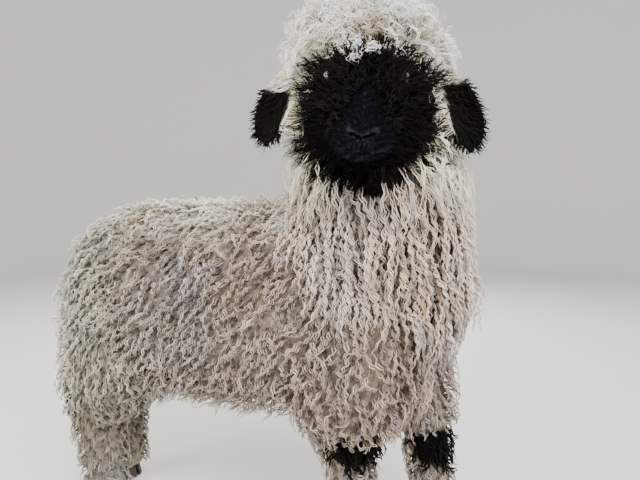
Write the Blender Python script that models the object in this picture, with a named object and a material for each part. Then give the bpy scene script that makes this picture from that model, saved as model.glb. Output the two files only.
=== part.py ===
"""A standing black-nosed mountain sheep in full fleece, life size, as closed solids in metres.

The trunk runs along Y with the breast towards -Y, the animal's left side is +X and the hooves stand on
Z = 0. The neck rises from the shoulders and the head is turned to the animal's right. At the end the
whole animal is moved level, so that the origin is on the floor under the middle of its box.

Every outline below is the outline of the fleece's tips, unless it says skin. The core of each coat lies
half the coat's depth under its tips, and clumps and locks rooted in the core reach out to them.
"""

import math
from collections import namedtuple

import bmesh
import bpy
import numpy as np
from mathutils import Matrix, Vector
from mathutils.bvhtree import BVHTree

GAP = 0.0003
SEED = 51
BATCH = 24  # tufts joined at a time
BODY_FACES = 8200
UP = Vector((0.0, 0.0, 1.0))

HOOF_HEIGHT = 0.045
CLAW_LENGTH = 0.056
CLAW_WIDTH = 0.026
CLEFT = 0.004
LEG_TOP = 0.325

# Depth of the coat over the core in each region.
TRUNK_COAT = 0.029
NECK_COAT = 0.043
CROWN_COAT = 0.046
FACE_COAT = 0.022
LEG_COAT = 0.015
TAIL_COAT = 0.016

# Breast to buttocks: y, top z, bottom z, half width.
TRUNK = (
    (-0.405, 0.640, 0.440, 0.070),
    (-0.375, 0.700, 0.395, 0.118),
    (-0.320, 0.755, 0.362, 0.150),
    (-0.210, 0.773, 0.345, 0.178),
    (-0.080, 0.771, 0.332, 0.200),
    (0.080, 0.771, 0.326, 0.212),
    (0.220, 0.774, 0.336, 0.212),
    (0.330, 0.765, 0.372, 0.200),
    (0.410, 0.735, 0.420, 0.170),
    (0.462, 0.675, 0.480, 0.115),
)
TRUNK_FULLNESS = 2.4

# Breast to poll: x, y, z, half width, depth towards the throat, depth towards the nape.
NECK = (
    (0.000, -0.225, 0.430, 0.105, 0.150, 0.090),
    (0.000, -0.238, 0.510, 0.145, 0.186, 0.115),
    (-0.003, -0.255, 0.600, 0.166, 0.195, 0.140),
    (-0.012, -0.270, 0.700, 0.168, 0.182, 0.156),
    (-0.024, -0.276, 0.800, 0.166, 0.168, 0.162),
    (-0.045, -0.276, 0.890, 0.160, 0.150, 0.152),
    (-0.066, -0.274, 0.960, 0.145, 0.130, 0.132),
)

# Shoulder or hip to pastern: x, y, z, half width, half depth.
FORELEG_RIGHT = (
    (-0.085, -0.265, 0.560, 0.085, 0.125),
    (-0.085, -0.240, 0.430, 0.078, 0.122),
    (-0.078, -0.236, 0.362, 0.070, 0.104),
    (-0.068, -0.237, 0.325, 0.063, 0.078),
    (-0.058, -0.240, 0.270, 0.058, 0.058),
    (-0.056, -0.241, 0.190, 0.052, 0.053),
    (-0.055, -0.243, 0.110, 0.053, 0.054),
    (-0.055, -0.246, 0.040, 0.046, 0.049),
)
FORELEG_LEFT = (
    (0.085, -0.275, 0.560, 0.085, 0.125),
    (0.088, -0.285, 0.430, 0.078, 0.118),
    (0.089, -0.318, 0.362, 0.068, 0.098),
    (0.089, -0.337, 0.325, 0.062, 0.076),
    (0.088, -0.357, 0.262, 0.058, 0.058),
    (0.088, -0.366, 0.190, 0.052, 0.053),
    (0.088, -0.374, 0.110, 0.053, 0.054),
    (0.088, -0.382, 0.040, 0.046, 0.049),
)
HINDLEG_RIGHT = (
    (-0.100, 0.290, 0.580, 0.098, 0.150),
    (-0.112, 0.305, 0.430, 0.090, 0.146),
    (-0.114, 0.345, 0.345, 0.076, 0.112),
    (-0.112, 0.378, 0.275, 0.064, 0.074),
    (-0.108, 0.374, 0.200, 0.058, 0.060),
    (-0.106, 0.365, 0.110, 0.055, 0.056),
    (-0.105, 0.358, 0.040, 0.048, 0.051),
)
HINDLEG_LEFT = (
    (0.095, 0.295, 0.580, 0.098, 0.150),
    (0.098, 0.340, 0.430, 0.090, 0.138),
    (0.084, 0.415, 0.345, 0.074, 0.098),
    (0.066, 0.472, 0.275, 0.063, 0.068),
    (0.062, 0.474, 0.200, 0.057, 0.058),
    (0.060, 0.470, 0.110, 0.055, 0.056),
    (0.060, 0.466, 0.040, 0.048, 0.051),
)
LEGS = {
    "foreleg_right": FORELEG_RIGHT,
    "foreleg_left": FORELEG_LEFT,
    "hindleg_right": HINDLEG_RIGHT,
    "hindleg_left": HINDLEG_LEFT,
}
KNEE_HEIGHT = 0.262
KNEE_PATCH = 0.046

# Tail, root to tip: x, y, z, half width, half depth.
TAIL = (
    (0.000, 0.420, 0.680, 0.044, 0.044),
    (0.002, 0.475, 0.620, 0.050, 0.046),
    (0.004, 0.502, 0.540, 0.050, 0.042),
    (0.006, 0.508, 0.470, 0.040, 0.034),
    (0.008, 0.506, 0.425, 0.022, 0.022),
)

# The head hangs on its poll point and is measured forward, left and up from there.
POLL = Vector((-0.073, -0.275, 0.995))
HEAD_TURN = math.radians(72.6)
HEAD_DROP = math.radians(35.0)
HEAD_LEAN = math.radians(3.0)

# Skin of the head, nose to poll: forward, half width, top, bottom.
SKULL = (
    (0.2540, 0.0270, 0.000, -0.030),
    (0.2460, 0.0345, 0.008, -0.042),
    (0.2300, 0.0385, 0.017, -0.053),
    (0.2000, 0.0390, 0.029, -0.057),
    (0.1700, 0.0430, 0.041, -0.064),
    (0.1400, 0.0540, 0.052, -0.078),
    (0.1100, 0.0630, 0.060, -0.091),
    (0.0700, 0.0660, 0.064, -0.094),
    (0.0300, 0.0610, 0.056, -0.082),
    (-0.0100, 0.0450, 0.036, -0.056),
)
SKULL_FULLNESS = 2.2

# Nostril, from its outer end to its inner end: to the side, up, half width of the slit.
NOSTRIL = ((0.0215, 0.0040, 0.0016), (0.0190, -0.0030, 0.0030), (0.0135, -0.0075, 0.0026), (0.0080, -0.0085, 0.0012))
NOSTRIL_DEPTH = 0.007
MOUTH_PIVOT = (0.190, -0.027)  # forward and up of the point that the mouth's line runs round
MOUTH_REACH = math.radians(112)
MOUTH_WIDTH = 0.0012
MOUTH_DEPTH = 0.0030
PHILTRUM = (-0.010, -0.026)  # up, top and bottom of the groove in the upper lip

EYE_PLACE = (0.118, 0.0500, 0.024)  # forward, to the side, up
EYE_RADIUS = 0.0150
EYE_GAZE = (0.42, 0.90, 0.10)
LID_THICKNESS = 0.0030
LID_REACH = math.radians(66)
LID_OPENINGS = {"upper": math.radians(34), "lower": math.radians(-26)}

# Ear, root to tip, from the poll: level forward, to the side, up, half width.
EAR = (
    (0.058, 0.056, -0.026, 0.016),
    (0.056, 0.090, -0.026, 0.022),
    (0.052, 0.122, -0.036, 0.028),
    (0.050, 0.148, -0.062, 0.032),
    (0.052, 0.164, -0.098, 0.031),
    (0.056, 0.170, -0.130, 0.021),
    (0.060, 0.171, -0.148, 0.010),
)
EAR_THICKNESS = 0.006
EAR_CUP = 0.50
EAR_FRINGE = 0.030

CROWN_CENTRE = Vector((-0.096, -0.282, 0.990))
CROWN_RADII = (0.152, 0.124, 0.136)  # across, along the head, up
CHEEK_PLACE = (0.050, 0.0, -0.022)
CHEEK_RADII = (0.086, 0.048, 0.095)  # the core of the face's wool: across, along the head, up
FACE_BLACK = 0.118  # reach of the black wool from the head's middle line

# Planes that part the body, each as a point and a normal that points away from the trunk.
NECK_PLANE = ((0.0, -0.105, 0.785), (0.0, -0.822, 0.570))
HEAD_PLANE = ((-0.047, -0.267, 0.904), (-0.700, -0.220, 0.680))
# Blocks that part the legs and the tail from it: low and high x, y and z.
BLOCKS = {
    "foreleg_right": ((-0.350, 0.016), (-0.700, -0.108), (-0.5, LEG_TOP)),
    "foreleg_left": ((0.016, 0.350), (-0.700, -0.108), (-0.5, LEG_TOP)),
    "hindleg_right": ((-0.350, -0.027), (0.215, 0.750), (-0.5, LEG_TOP)),
    "hindleg_left": ((-0.027, 0.350), (0.215, 0.750), (-0.5, LEG_TOP)),
    "tail": ((-0.060, 0.064), (0.458, 0.800), (0.390, 0.715)),
}

# One kind of tuft: its length and half width, the depth of the coat it fills, its sides, how far it
# hangs free of the core, from 0 to 1, and its shape from root to tip as width, height and thickness.
Tuft = namedtuple("Tuft", "length half_width depth sides hang shape")
CLUMP_SHAPE = ((0.70, -0.35, 0.60), (1.00, 0.45, 0.52), (0.92, 0.60, 0.45), (0.45, 0.60, 0.25))
LOCK_SHAPE = ((0.75, -0.30, 0.50), (1.00, 0.45, 0.45), (0.84, 0.68, 0.36), (0.28, 0.82, 0.15))
SHORT_SHAPE = ((0.80, -0.30, 0.55), (1.00, 0.50, 0.45), (0.38, 0.75, 0.20))
TRUNK_CLUMP = Tuft(0.150, 0.056, TRUNK_COAT, 5, 0.0, CLUMP_SHAPE)
BELLY_CLUMP = Tuft(0.110, 0.044, TRUNK_COAT, 4, 0.5, SHORT_SHAPE)
NECK_LOCK = Tuft(0.185, 0.034, NECK_COAT, 4, 0.15, LOCK_SHAPE)
CROWN_CLUMP = Tuft(0.086, 0.034, CROWN_COAT, 5, 0.0, CLUMP_SHAPE)
FACE_LOCK = Tuft(0.058, 0.017, FACE_COAT, 4, 0.60, SHORT_SHAPE)
LEG_LOCK = Tuft(0.080, 0.027, LEG_COAT, 4, 0.0, SHORT_SHAPE)
TAIL_LOCK = Tuft(0.085, 0.028, TAIL_COAT, 4, 0.0, SHORT_SHAPE)

COLOURS = {
    "fleece": (0.46, 0.36, 0.25),
    "ruff": (0.66, 0.56, 0.45),
    "black": (0.018, 0.015, 0.018),
    "legs": (0.60, 0.52, 0.42),
    "hoof": (0.035, 0.028, 0.024),
    "eye": (0.030, 0.015, 0.008),
}
ROUGHNESS = {"hoof": 0.45, "eye": 0.08}


def head_axes():
    """Forward, left and up of the head as unit vectors: turned to the right, dropped, then leaned."""
    level = Vector((-math.sin(HEAD_TURN), -math.cos(HEAD_TURN), 0.0))
    forward = (level * math.cos(HEAD_DROP) - UP * math.sin(HEAD_DROP)).normalized()
    left = Matrix.Rotation(-HEAD_LEAN, 3, forward) @ UP.cross(level)
    return level, forward, left, forward.cross(left)


LEVEL, HEAD_FORWARD, HEAD_LEFT, HEAD_UP = head_axes()


def on_head(forward, left, up):
    """A point measured from the poll in the head's own directions."""
    return POLL + HEAD_FORWARD * forward + HEAD_LEFT * left + HEAD_UP * up


def add_object(name, verts, faces):
    """A mesh object whose faces point outwards."""
    mesh = bpy.data.meshes.new(name)
    mesh.from_pydata([tuple(v) for v in verts], [], faces)
    work = bmesh.new()
    work.from_mesh(mesh)
    bmesh.ops.recalc_face_normals(work, faces=work.faces)
    work.to_mesh(mesh)
    work.free()
    obj = bpy.data.objects.new(name, mesh)
    bpy.context.scene.collection.objects.link(obj)
    return obj


def copy_of(obj, name):
    new = bpy.data.objects.new(name, obj.data.copy())
    bpy.context.scene.collection.objects.link(new)
    return new


def remove(objects):
    for obj in objects:
        bpy.data.objects.remove(obj)


def smoothed(rows, count):
    """Rows of numbers read at even steps from a Catmull-Rom curve through the given rows."""
    rows = np.asarray(rows, float)
    padded = np.vstack((2 * rows[0] - rows[1], rows, 2 * rows[-1] - rows[-2]))
    steps = np.linalg.norm(np.diff(rows[:, :3], axis=0), axis=1)
    along = np.concatenate(([0.0], np.cumsum(steps)))
    places = np.linspace(0.0, along[-1], count)
    index = np.clip(np.searchsorted(along, places, side="right") - 1, 0, len(steps) - 1)
    t = ((places - along[index]) / steps[index])[:, None]
    a, b, c, d = (padded[index + k] for k in range(4))
    return 0.5 * (2 * b + (c - a) * t + (2 * a - 5 * b + 4 * c - d) * t**2 + (3 * b - a - 3 * c + d) * t**3)


def section(sides, fullness):
    """Cosine and sine round a superellipse, with a point at the top: 2 is an ellipse and more is squarer."""
    angle = math.pi / 2 + 2 * math.pi * np.arange(sides) / sides
    shape = [np.sign(f(angle)) * np.abs(f(angle)) ** (2 / fullness) for f in (np.cos, np.sin)]
    return shape[0], shape[1]


def ring_solid(name, centres, side, across, over, under, sides=16, fullness=2.0, caps=(0.6, 0.6)):
    """Rings round a path, closed by a pole at each end that stands caps times the ring's size beyond it."""
    centres = np.asarray(centres, float)
    tangent = np.gradient(centres, axis=0)
    tangent /= np.linalg.norm(tangent, axis=1)[:, None]
    side = np.broadcast_to(np.asarray(side, float), centres.shape)
    side = side - (side * tangent).sum(1)[:, None] * tangent
    side /= np.linalg.norm(side, axis=1)[:, None]
    up = np.cross(side, tangent)
    c, s = section(sides, fullness)
    across, over, under = (np.asarray(a, float) for a in (across, over, under))
    depth = np.where(s[None, :] > 0, over[:, None], under[:, None])
    verts = (
        centres[:, None, :]
        + side[:, None, :] * (across[:, None] * c)[:, :, None]
        + up[:, None, :] * (depth * s)[:, :, None]
    )
    first = centres[0] - tangent[0] * caps[0] * min(across[0], over[0])
    last = centres[-1] + tangent[-1] * caps[1] * min(across[-1], over[-1])
    return add_object(name, [*verts.reshape(-1, 3), first, last], tube_faces(len(centres), sides))


def tube_faces(rings, sides):
    """Quads between rings of points, and a fan from the two last points to the first and the last ring."""
    faces = [
        (r * sides + k, r * sides + (k + 1) % sides, (r + 1) * sides + (k + 1) % sides, (r + 1) * sides + k)
        for r in range(rings - 1)
        for k in range(sides)
    ]
    start, end, last = rings * sides, rings * sides + 1, (rings - 1) * sides
    faces += [(start, (k + 1) % sides, k) for k in range(sides)]
    faces += [(end, last + k, last + (k + 1) % sides) for k in range(sides)]
    return faces


def ellipsoid(name, centre, axes, radii, rings=9, sides=16):
    """Rings along the last axis, closed by poles."""
    turn = np.pi * np.arange(1, rings + 1)[:, None] / (rings + 1)
    round_about = 2 * np.pi * np.arange(sides)[None, :] / sides
    axes = np.array([tuple(a) for a in axes]) * np.asarray(radii)[:, None]
    local = np.stack(
        np.broadcast_arrays(np.sin(turn) * np.cos(round_about), np.sin(turn) * np.sin(round_about), -np.cos(turn)),
        axis=-1,
    )
    verts = np.asarray(tuple(centre)) + local.reshape(-1, 3) @ axes
    ends = np.asarray(tuple(centre)) + np.array([[-1.0], [1.0]]) * axes[2]
    return add_object(name, [*verts, *ends], tube_faces(rings, sides))


def box(name, low, high):
    """A closed box between two corners."""
    (x0, y0, z0), (x1, y1, z1) = low, high
    verts = [(x, y, z) for x in (x0, x1) for y in (y0, y1) for z in (z0, z1)]
    faces = [(0, 1, 3, 2), (4, 6, 7, 5), (0, 4, 5, 1), (2, 3, 7, 6), (0, 2, 6, 4), (1, 5, 7, 3)]
    return add_object(name, verts, faces)


def beyond(plane, side):
    """A large box on one side of a plane, from half a gap short of it: side 1 is where its normal points."""
    point, normal = plane
    obj = box("beyond", (-3, -3, -GAP / 2), (3, 3, 3))
    turn = (Vector(normal) * side).to_track_quat("Z", "Y").to_matrix().to_4x4()
    obj.data.transform(Matrix.Translation(Vector(point)) @ turn)
    return obj


def block(name, gap):
    (x0, x1), (y0, y1), (z0, z1) = BLOCKS[name]
    return box("block", (x0 - gap, y0 - gap, z0 - gap), (x1 + gap, y1 + gap, z1 + gap))


def drawn_in(obj, depth):
    """Moves every vertex inwards along its normal, as the core of a coat lies under its tips."""
    mesh = obj.data
    co = np.empty(len(mesh.vertices) * 3, np.float32)
    mesh.vertices.foreach_get("co", co)
    normals = np.empty(len(mesh.vertices) * 3, np.float32)
    mesh.vertex_normals.foreach_get("vector", normals)
    mesh.vertices.foreach_set("co", co - normals * depth)
    mesh.update()
    return obj


def applied(obj):
    """Bakes the modifiers of an object into its mesh."""
    bpy.context.view_layer.update()
    mesh = bpy.data.meshes.new_from_object(obj.evaluated_get(bpy.context.evaluated_depsgraph_get()))
    obj.modifiers.clear()
    obj.data = mesh
    return obj


def thinned(obj, count):
    """Takes the smallest faces that the unions left, down to about the given number."""
    modifier = obj.modifiers.new("thinned", "DECIMATE")
    modifier.ratio = min(1.0, count / len(obj.data.polygons))
    return keep_largest(applied(obj))


def boolean(obj, others, operation):
    """Joins or cuts obj with a collection of closed meshes, applies it and removes the collection."""
    tools = bpy.data.collections.new("tools")
    bpy.context.scene.collection.children.link(tools)
    for other in others:
        bpy.context.scene.collection.objects.unlink(other)
        tools.objects.link(other)
    modifier = obj.modifiers.new("boolean", "BOOLEAN")
    modifier.operand_type = "COLLECTION"
    modifier.collection = tools
    modifier.operation = operation
    modifier.solver = "MANIFOLD"
    applied(obj)
    remove(others)
    bpy.data.collections.remove(tools)
    return keep_largest(obj)


def keep_largest(obj):
    """Keeps the closed surface of the largest volume, so that loose scraps and sealed hollows go."""
    work = bmesh.new()
    work.from_mesh(obj.data)
    bmesh.ops.triangulate(work, faces=work.faces)
    unseen, shells = set(work.faces), []
    while unseen:
        shell, front = [], [unseen.pop()]
        while front:
            face = front.pop()
            shell.append(face)
            near = {f for e in face.edges for f in e.link_faces} & unseen
            unseen -= near
            front.extend(near)
        shells.append(shell)
    shells.sort(key=lambda shell: sum(f.verts[0].co.dot(f.verts[1].co.cross(f.verts[2].co)) for f in shell))
    for shell in shells[:-1]:
        bmesh.ops.delete(work, geom=shell, context="FACES")
    bmesh.ops.delete(work, geom=[v for v in work.verts if not v.link_faces], context="VERTS")
    work.to_mesh(obj.data)
    work.free()
    return obj


def tree_of(obj):
    return BVHTree.FromPolygons([v.co for v in obj.data.vertices], [p.vertices for p in obj.data.polygons])


def trunk():
    rows = smoothed([(0.0, y, (top + low) / 2, half, (top - low) / 2) for y, top, low, half in TRUNK], 12)
    obj = ring_solid("trunk", rows[:, :3], (1, 0, 0), rows[:, 3], rows[:, 4], rows[:, 4], 16, TRUNK_FULLNESS)
    return drawn_in(obj, TRUNK_COAT)


def neck():
    rows = smoothed(NECK, 7)
    obj = ring_solid("neck", rows[:, :3], (1, 0, 0), rows[:, 3], rows[:, 4], rows[:, 5], 12, 2.1)
    return drawn_in(obj, NECK_COAT)


def limb(name, outline, coat, rings, sides):
    rows = smoothed(outline, rings)
    obj = ring_solid(name, rows[:, :3], (1, 0, 0), rows[:, 3], rows[:, 4], rows[:, 4], sides)
    return drawn_in(obj, coat)


def skull():
    rows = smoothed([(f, half, (top + low) / 2, (top - low) / 2) for f, half, top, low in SKULL], 15)
    centres = [on_head(f, 0, middle) for f, _, middle, _ in rows]
    depth = rows[:, 3]
    return ring_solid("skull", centres, HEAD_LEFT, rows[:, 1], depth, depth, 18, SKULL_FULLNESS, (0.2, 0.6))


def crown():
    radii = [r - CROWN_COAT for r in CROWN_RADII]
    return ellipsoid("crown", CROWN_CENTRE, (HEAD_LEFT, LEVEL, UP), radii, 5, 10)


def cheeks():
    return ellipsoid("cheeks", on_head(*CHEEK_PLACE), (HEAD_LEFT, HEAD_FORWARD, HEAD_UP), CHEEK_RADII, 5, 10)


def lids(side):
    """The two lids of one eye: arcs round the ball that meet at its corners."""
    centre, ahead, outward, upward = eye_axes(side)
    made = []
    for name, opening in LID_OPENINGS.items():
        along = np.linspace(-LID_REACH, LID_REACH, 7)
        lift = opening * np.cos(along * (math.pi / 2) / LID_REACH)
        radius = EYE_RADIUS + 0.3 * LID_THICKNESS
        points = [
            centre + radius * (ahead * math.sin(a) + (outward * math.cos(b) + upward * math.sin(b)) * math.cos(a))
            for a, b in zip(along, lift)
        ]
        thick = LID_THICKNESS * (1 - 0.35 * np.abs(along) / LID_REACH)
        away = [tuple((p - centre).normalized()) for p in points]
        side_line = np.cross(np.gradient(np.array([tuple(p) for p in points]), axis=0), away)
        made.append(ring_solid(name + "_lid", points, side_line, thick, thick, thick, 6))
    return made


def eye_axes(side):
    """Centre of an eye, then ahead along its slit, outward along its gaze and upward."""
    f, out, up = EYE_PLACE
    centre = on_head(f, side * out, up)
    gaze_f, gaze_out, gaze_up = EYE_GAZE
    outward = (HEAD_FORWARD * gaze_f + HEAD_LEFT * side * gaze_out + HEAD_UP * gaze_up).normalized()
    ahead = (HEAD_FORWARD - outward * HEAD_FORWARD.dot(outward)).normalized()
    upward = outward.cross(ahead) * side
    return centre, ahead, outward, upward * (1 if upward.dot(HEAD_UP) > 0 else -1)


def groove(name, surface, aims, widths, depth):
    """A cutter along the points where lines that run back from each aim meet the skin."""
    points, normals = [], []
    for start, towards in aims:
        hit, normal, _, _ = surface.ray_cast(start, (towards - start).normalized())
        points.append(tuple(hit))
        normals.append(tuple(normal))
    normals = np.array(normals)
    side = np.cross(np.gradient(np.array(points), axis=0), normals)
    widths = np.asarray(widths, float)
    high = np.full(len(points), depth)
    return ring_solid(name, points, side, widths, high, high, 6)


def face_grooves(surface):
    """Cutters for the nostrils, the groove in the upper lip and the line of the mouth."""
    made = []
    for side in (1, -1):
        aims = [(on_head(0.30, side * out, up), on_head(0.20, side * out * 0.8, up)) for out, up, _ in NOSTRIL]
        made.append(groove("nostril", surface, aims, [w for _, _, w in NOSTRIL], NOSTRIL_DEPTH))
    ups = np.linspace(*PHILTRUM, 4)
    aims = [(on_head(0.30, 0, up), on_head(0.20, 0, up)) for up in ups]
    made.append(groove("philtrum", surface, aims, [MOUTH_WIDTH] * len(ups), MOUTH_DEPTH))
    f, up = MOUTH_PIVOT
    turns = np.linspace(-MOUTH_REACH, MOUTH_REACH, 15)
    pivot = on_head(f, 0, up)
    aims = [(on_head(f + 0.12 * math.cos(a), 0.12 * math.sin(a), up), pivot) for a in turns]
    made.append(groove("mouth", surface, aims, [MOUTH_WIDTH] * len(turns), MOUTH_DEPTH))
    return made


def lie(surface, root, normal, flow, tuft, length):
    """The middle line of a tuft: it leaves its root, follows the flow and keeps its heights over the core."""
    heights = [rise * tuft.depth for _, rise, _ in tuft.shape]
    step = length / (len(heights) - 1)
    points, normals = [root + normal * heights[0]], [normal]
    for height in heights[1:]:
        want = flow(points[-1], normals[-1])
        along = want - normals[-1] * want.dot(normals[-1]) * (1 - tuft.hang)
        place = points[-1] + along.normalized() * step
        near, face_normal, _, _ = surface.find_nearest(place)
        normal = (normals[-1] + face_normal * 2).normalized()
        if tuft.hang == 0 or (place - near).dot(face_normal) < height:
            place = near + normal * height
        points.append(place)
        normals.append(normal)
    return points, normals


def grow(surface, seeds, flow, tuft, random, facing=None):
    """One closed tuft for each seed, flat on the core or facing one way, and sunk in the core by its root."""
    made = []
    width, rise, thick = np.array(tuft.shape).T
    for root, normal in seeds:
        scale = random.uniform(0.86, 1.14)
        points, normals = lie(surface, root, normal, flow, tuft, tuft.length * random.uniform(0.88, 1.12))
        points = np.array([tuple(p) for p in points])
        face = np.array([tuple(n) for n in normals]) if facing is None else np.array(tuple(facing))
        side = np.cross(np.gradient(points, axis=0), face)
        over = thick * tuft.depth
        under = np.maximum(over, rise * tuft.depth + 0.006)
        under[-1] = over[-1]
        made.append(
            ring_solid("tuft", points, side, width * tuft.half_width * scale, over, under, tuft.sides, 2.0, (0.2, 0.8))
        )
    return made


def spread(surface, own, line, spacing, random, reach=0.012, keep=None):
    """Roots set round a line in staggered rows, where the body's surface is that of its own core."""
    line = [Vector(p) for p in line]
    seeds = []
    for r, centre in enumerate(line):
        ahead = (line[min(r + 1, len(line) - 1)] - line[max(r - 1, 0)]).normalized()
        across = ahead.orthogonal().normalized()
        third = ahead.cross(across)
        turns = [2 * math.pi * k / 12 for k in range(12)]
        hits = [own.ray_cast(centre, across * math.cos(a) + third * math.sin(a))[3] for a in turns]
        round_about = 2 * math.pi * np.mean([h for h in hits if h] or [0.0])
        count = max(4, round(round_about / spacing))
        for k in range(count):
            angle = 2 * math.pi * (k + 0.5 * (r % 2) + random.uniform(-0.16, 0.16)) / count
            aim = across * math.cos(angle) + third * math.sin(angle)
            start = centre + ahead * spacing * random.uniform(-0.14, 0.14)
            own_distance = own.ray_cast(start, aim)[3]
            hit, normal, _, distance = surface.ray_cast(start, aim)
            if own_distance is None or hit is None or distance > own_distance + reach:
                continue
            if keep is None or keep(hit, normal):
                seeds.append((hit, normal))
    return seeds


def path_line(rows, spacing):
    """Points at even steps along the middle of an outline."""
    fine = smoothed(rows, 60)[:, :3]
    length = np.linalg.norm(np.diff(fine, axis=0), axis=1).sum()
    count = max(2, round(length / spacing) + 1)
    return fine[np.linspace(0, len(fine) - 1, count).round().astype(int)]


def trunk_flow(place, normal):
    """Down and back along the sides, and parting along the spine."""
    return Vector((math.copysign(max(0.0, normal.z), place.x), 0.55, -1.0))


def hanging_flow(place, normal):
    """Straight down, spreading a little."""
    return Vector((0.2 * normal.x, 0.2 * normal.y, -1.0))


def above_brow(place, normal):
    """True where the topknot grows: all round the crown, but higher up in front."""
    return place.z > 1.005 or (place - CROWN_CENTRE).dot(LEVEL) < 0.02


def crown_flow(place, normal):
    """Away from the top of the head, down on every side."""
    outward = place - CROWN_CENTRE
    return outward - UP * (0.55 * outward.length + 0.2 * outward.z) + LEVEL * 0.01


def face_flow(place, normal):
    """Out from the head's middle line on every side, drooping a little."""
    from_poll = place - POLL
    middle = POLL + HEAD_FORWARD * from_poll.dot(HEAD_FORWARD) + HEAD_UP * CHEEK_PLACE[2]
    return (place - middle).normalized() - HEAD_FORWARD * 0.10 - UP * 0.30


def coat(surface, cores, random):
    """Every clump and lock, region by region."""
    trees = {core.name: tree_of(core) for core in cores}
    trunk_line = [(0.0, y, 0.555) for y in np.arange(-0.33, 0.46, 0.108)]
    made = grow(
        surface,
        spread(surface, trees["trunk"], trunk_line, 0.106, random, keep=lambda p, n: n.z > -0.75),
        trunk_flow,
        TRUNK_CLUMP,
        random,
    )
    seeds = spread(surface, trees["trunk"], trunk_line[1:-1], 0.100, random, keep=lambda p, n: -0.98 < n.z < -0.55)
    made += grow(surface, seeds, trunk_flow, BELLY_CLUMP, random)
    seeds = spread(surface, trees["neck"], path_line(NECK, 0.088), 0.088, random, keep=lambda p, n: n.z < 0.45)
    made += grow(surface, seeds, hanging_flow, NECK_LOCK, random)
    crown_line = [CROWN_CENTRE + UP * h for h in (-0.045, -0.005, 0.035, 0.066, 0.084)]
    seeds = spread(surface, trees["crown"], crown_line, 0.058, random, 0.03, above_brow)
    made += grow(surface, seeds, crown_flow, CROWN_CLUMP, random)
    for name, outline in LEGS.items():
        seeds = spread(surface, trees[name], path_line(outline, 0.078), 0.068, random, 0.008)
        upper = [s for s in seeds if s[0].z > LEG_TOP + 0.02]
        lower = [s for s in seeds if 0.075 < s[0].z <= LEG_TOP + 0.02]
        made += grow(surface, upper[::2], hanging_flow, NECK_LOCK if "fore" in name else TRUNK_CLUMP, random)
        made += grow(surface, lower, hanging_flow, LEG_LOCK, random)
    seeds = spread(surface, trees["tail"], path_line(TAIL, 0.075), 0.075, random, 0.010)
    made += grow(surface, [s for s in seeds if s[0].z < 0.66], hanging_flow, TAIL_LOCK, random)
    made += grow(surface, face_seeds(surface, random), face_flow, FACE_LOCK, random, HEAD_FORWARD)
    return made


def face_seeds(surface, random):
    """Roots in rings round the head behind the muzzle, clear of the eyes."""
    seeds = []
    eyes = [eye_axes(side)[0] for side in (1, -1)]
    for ring, (f, count) in enumerate(((0.042, 14), (0.088, 12), (0.134, 12))):
        for k in range(count):
            angle = 2 * math.pi * (k + 0.5 * (ring % 2) + random.uniform(-0.12, 0.12)) / count
            middle = on_head(f, 0, CHEEK_PLACE[2])
            hit, normal, _, distance = surface.ray_cast(
                middle, HEAD_LEFT * math.cos(angle) + HEAD_UP * math.sin(angle)
            )
            if distance < FACE_BLACK and min((hit - eye).length for eye in eyes) > 2.5 * EYE_RADIUS:
                seeds.append((hit, normal))
    return seeds


def ear(name, side):
    """A cupped leaf along a drooping path, hollow towards the front, with a fringe of locks on its rim."""
    rows = smoothed(EAR, 8)
    half = rows[:, 3]
    base = np.array([tuple(v) for v in (LEVEL, HEAD_LEFT * side, UP)])
    centres = np.array(tuple(POLL)) + rows[:, :3] @ base
    along = np.gradient(centres, axis=0)
    along /= np.linalg.norm(along, axis=1)[:, None]
    front = base[0] + 0.35 * base[1]
    front = front - (along @ front)[:, None] * along
    front /= np.linalg.norm(front, axis=1)[:, None]
    wide = np.cross(along, front)
    steps = 4
    place = np.linspace(-1, 1, steps + 1)
    cup = -EAR_CUP * half[:, None] * (1 - place**2)
    wall = EAR_THICKNESS * (0.25 + 0.75 * np.sqrt(1 - place**2))
    middle = centres[:, None] + wide[:, None] * (half[:, None] * place)[..., None]
    faces_apart = [middle + front[:, None] * (cup + wall * k)[..., None] for k in (-0.5, 0.5)]
    rings = np.concatenate((faces_apart[0], faces_apart[1][:, ::-1]), axis=1)
    sides = rings.shape[1]
    verts = rings.reshape(-1, 3)
    faces = []
    for r in range(len(rows) - 1):
        for k in range(sides):
            a, b = r * sides + k, r * sides + (k + 1) % sides
            faces += [(a, b, b + sides), (a, b + sides, a + sides)]
    for start in (0, (len(rows) - 1) * sides):
        for k in range(steps):
            a, b = start + k, start + sides - 1 - k
            faces += [(a, a + 1, b - 1), (a, b - 1, b)]
    leaf = add_object(name, verts, faces)
    fringe = []
    for r, edge in ((3, -1), (3, 1), (5, -1), (5, 1), (7, 0)):
        away = along[r] * 0.97 + wide[r] * edge * 0.22
        start = centres[r] + wide[r] * half[r] * edge * 0.80
        points = [start + away * s * EAR_FRINGE for s in (-0.4, 0.4, 1.3)]
        side_line = np.cross(np.gradient(np.array(points), axis=0), front[r])
        widths = np.array((0.008, 0.013, 0.004))
        thin = np.array((0.003, 0.005, 0.0015))
        fringe.append(ring_solid("fringe", points, side_line, widths, thin, thin, 4))
    return boolean(leaf, fringe, "UNION")


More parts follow.
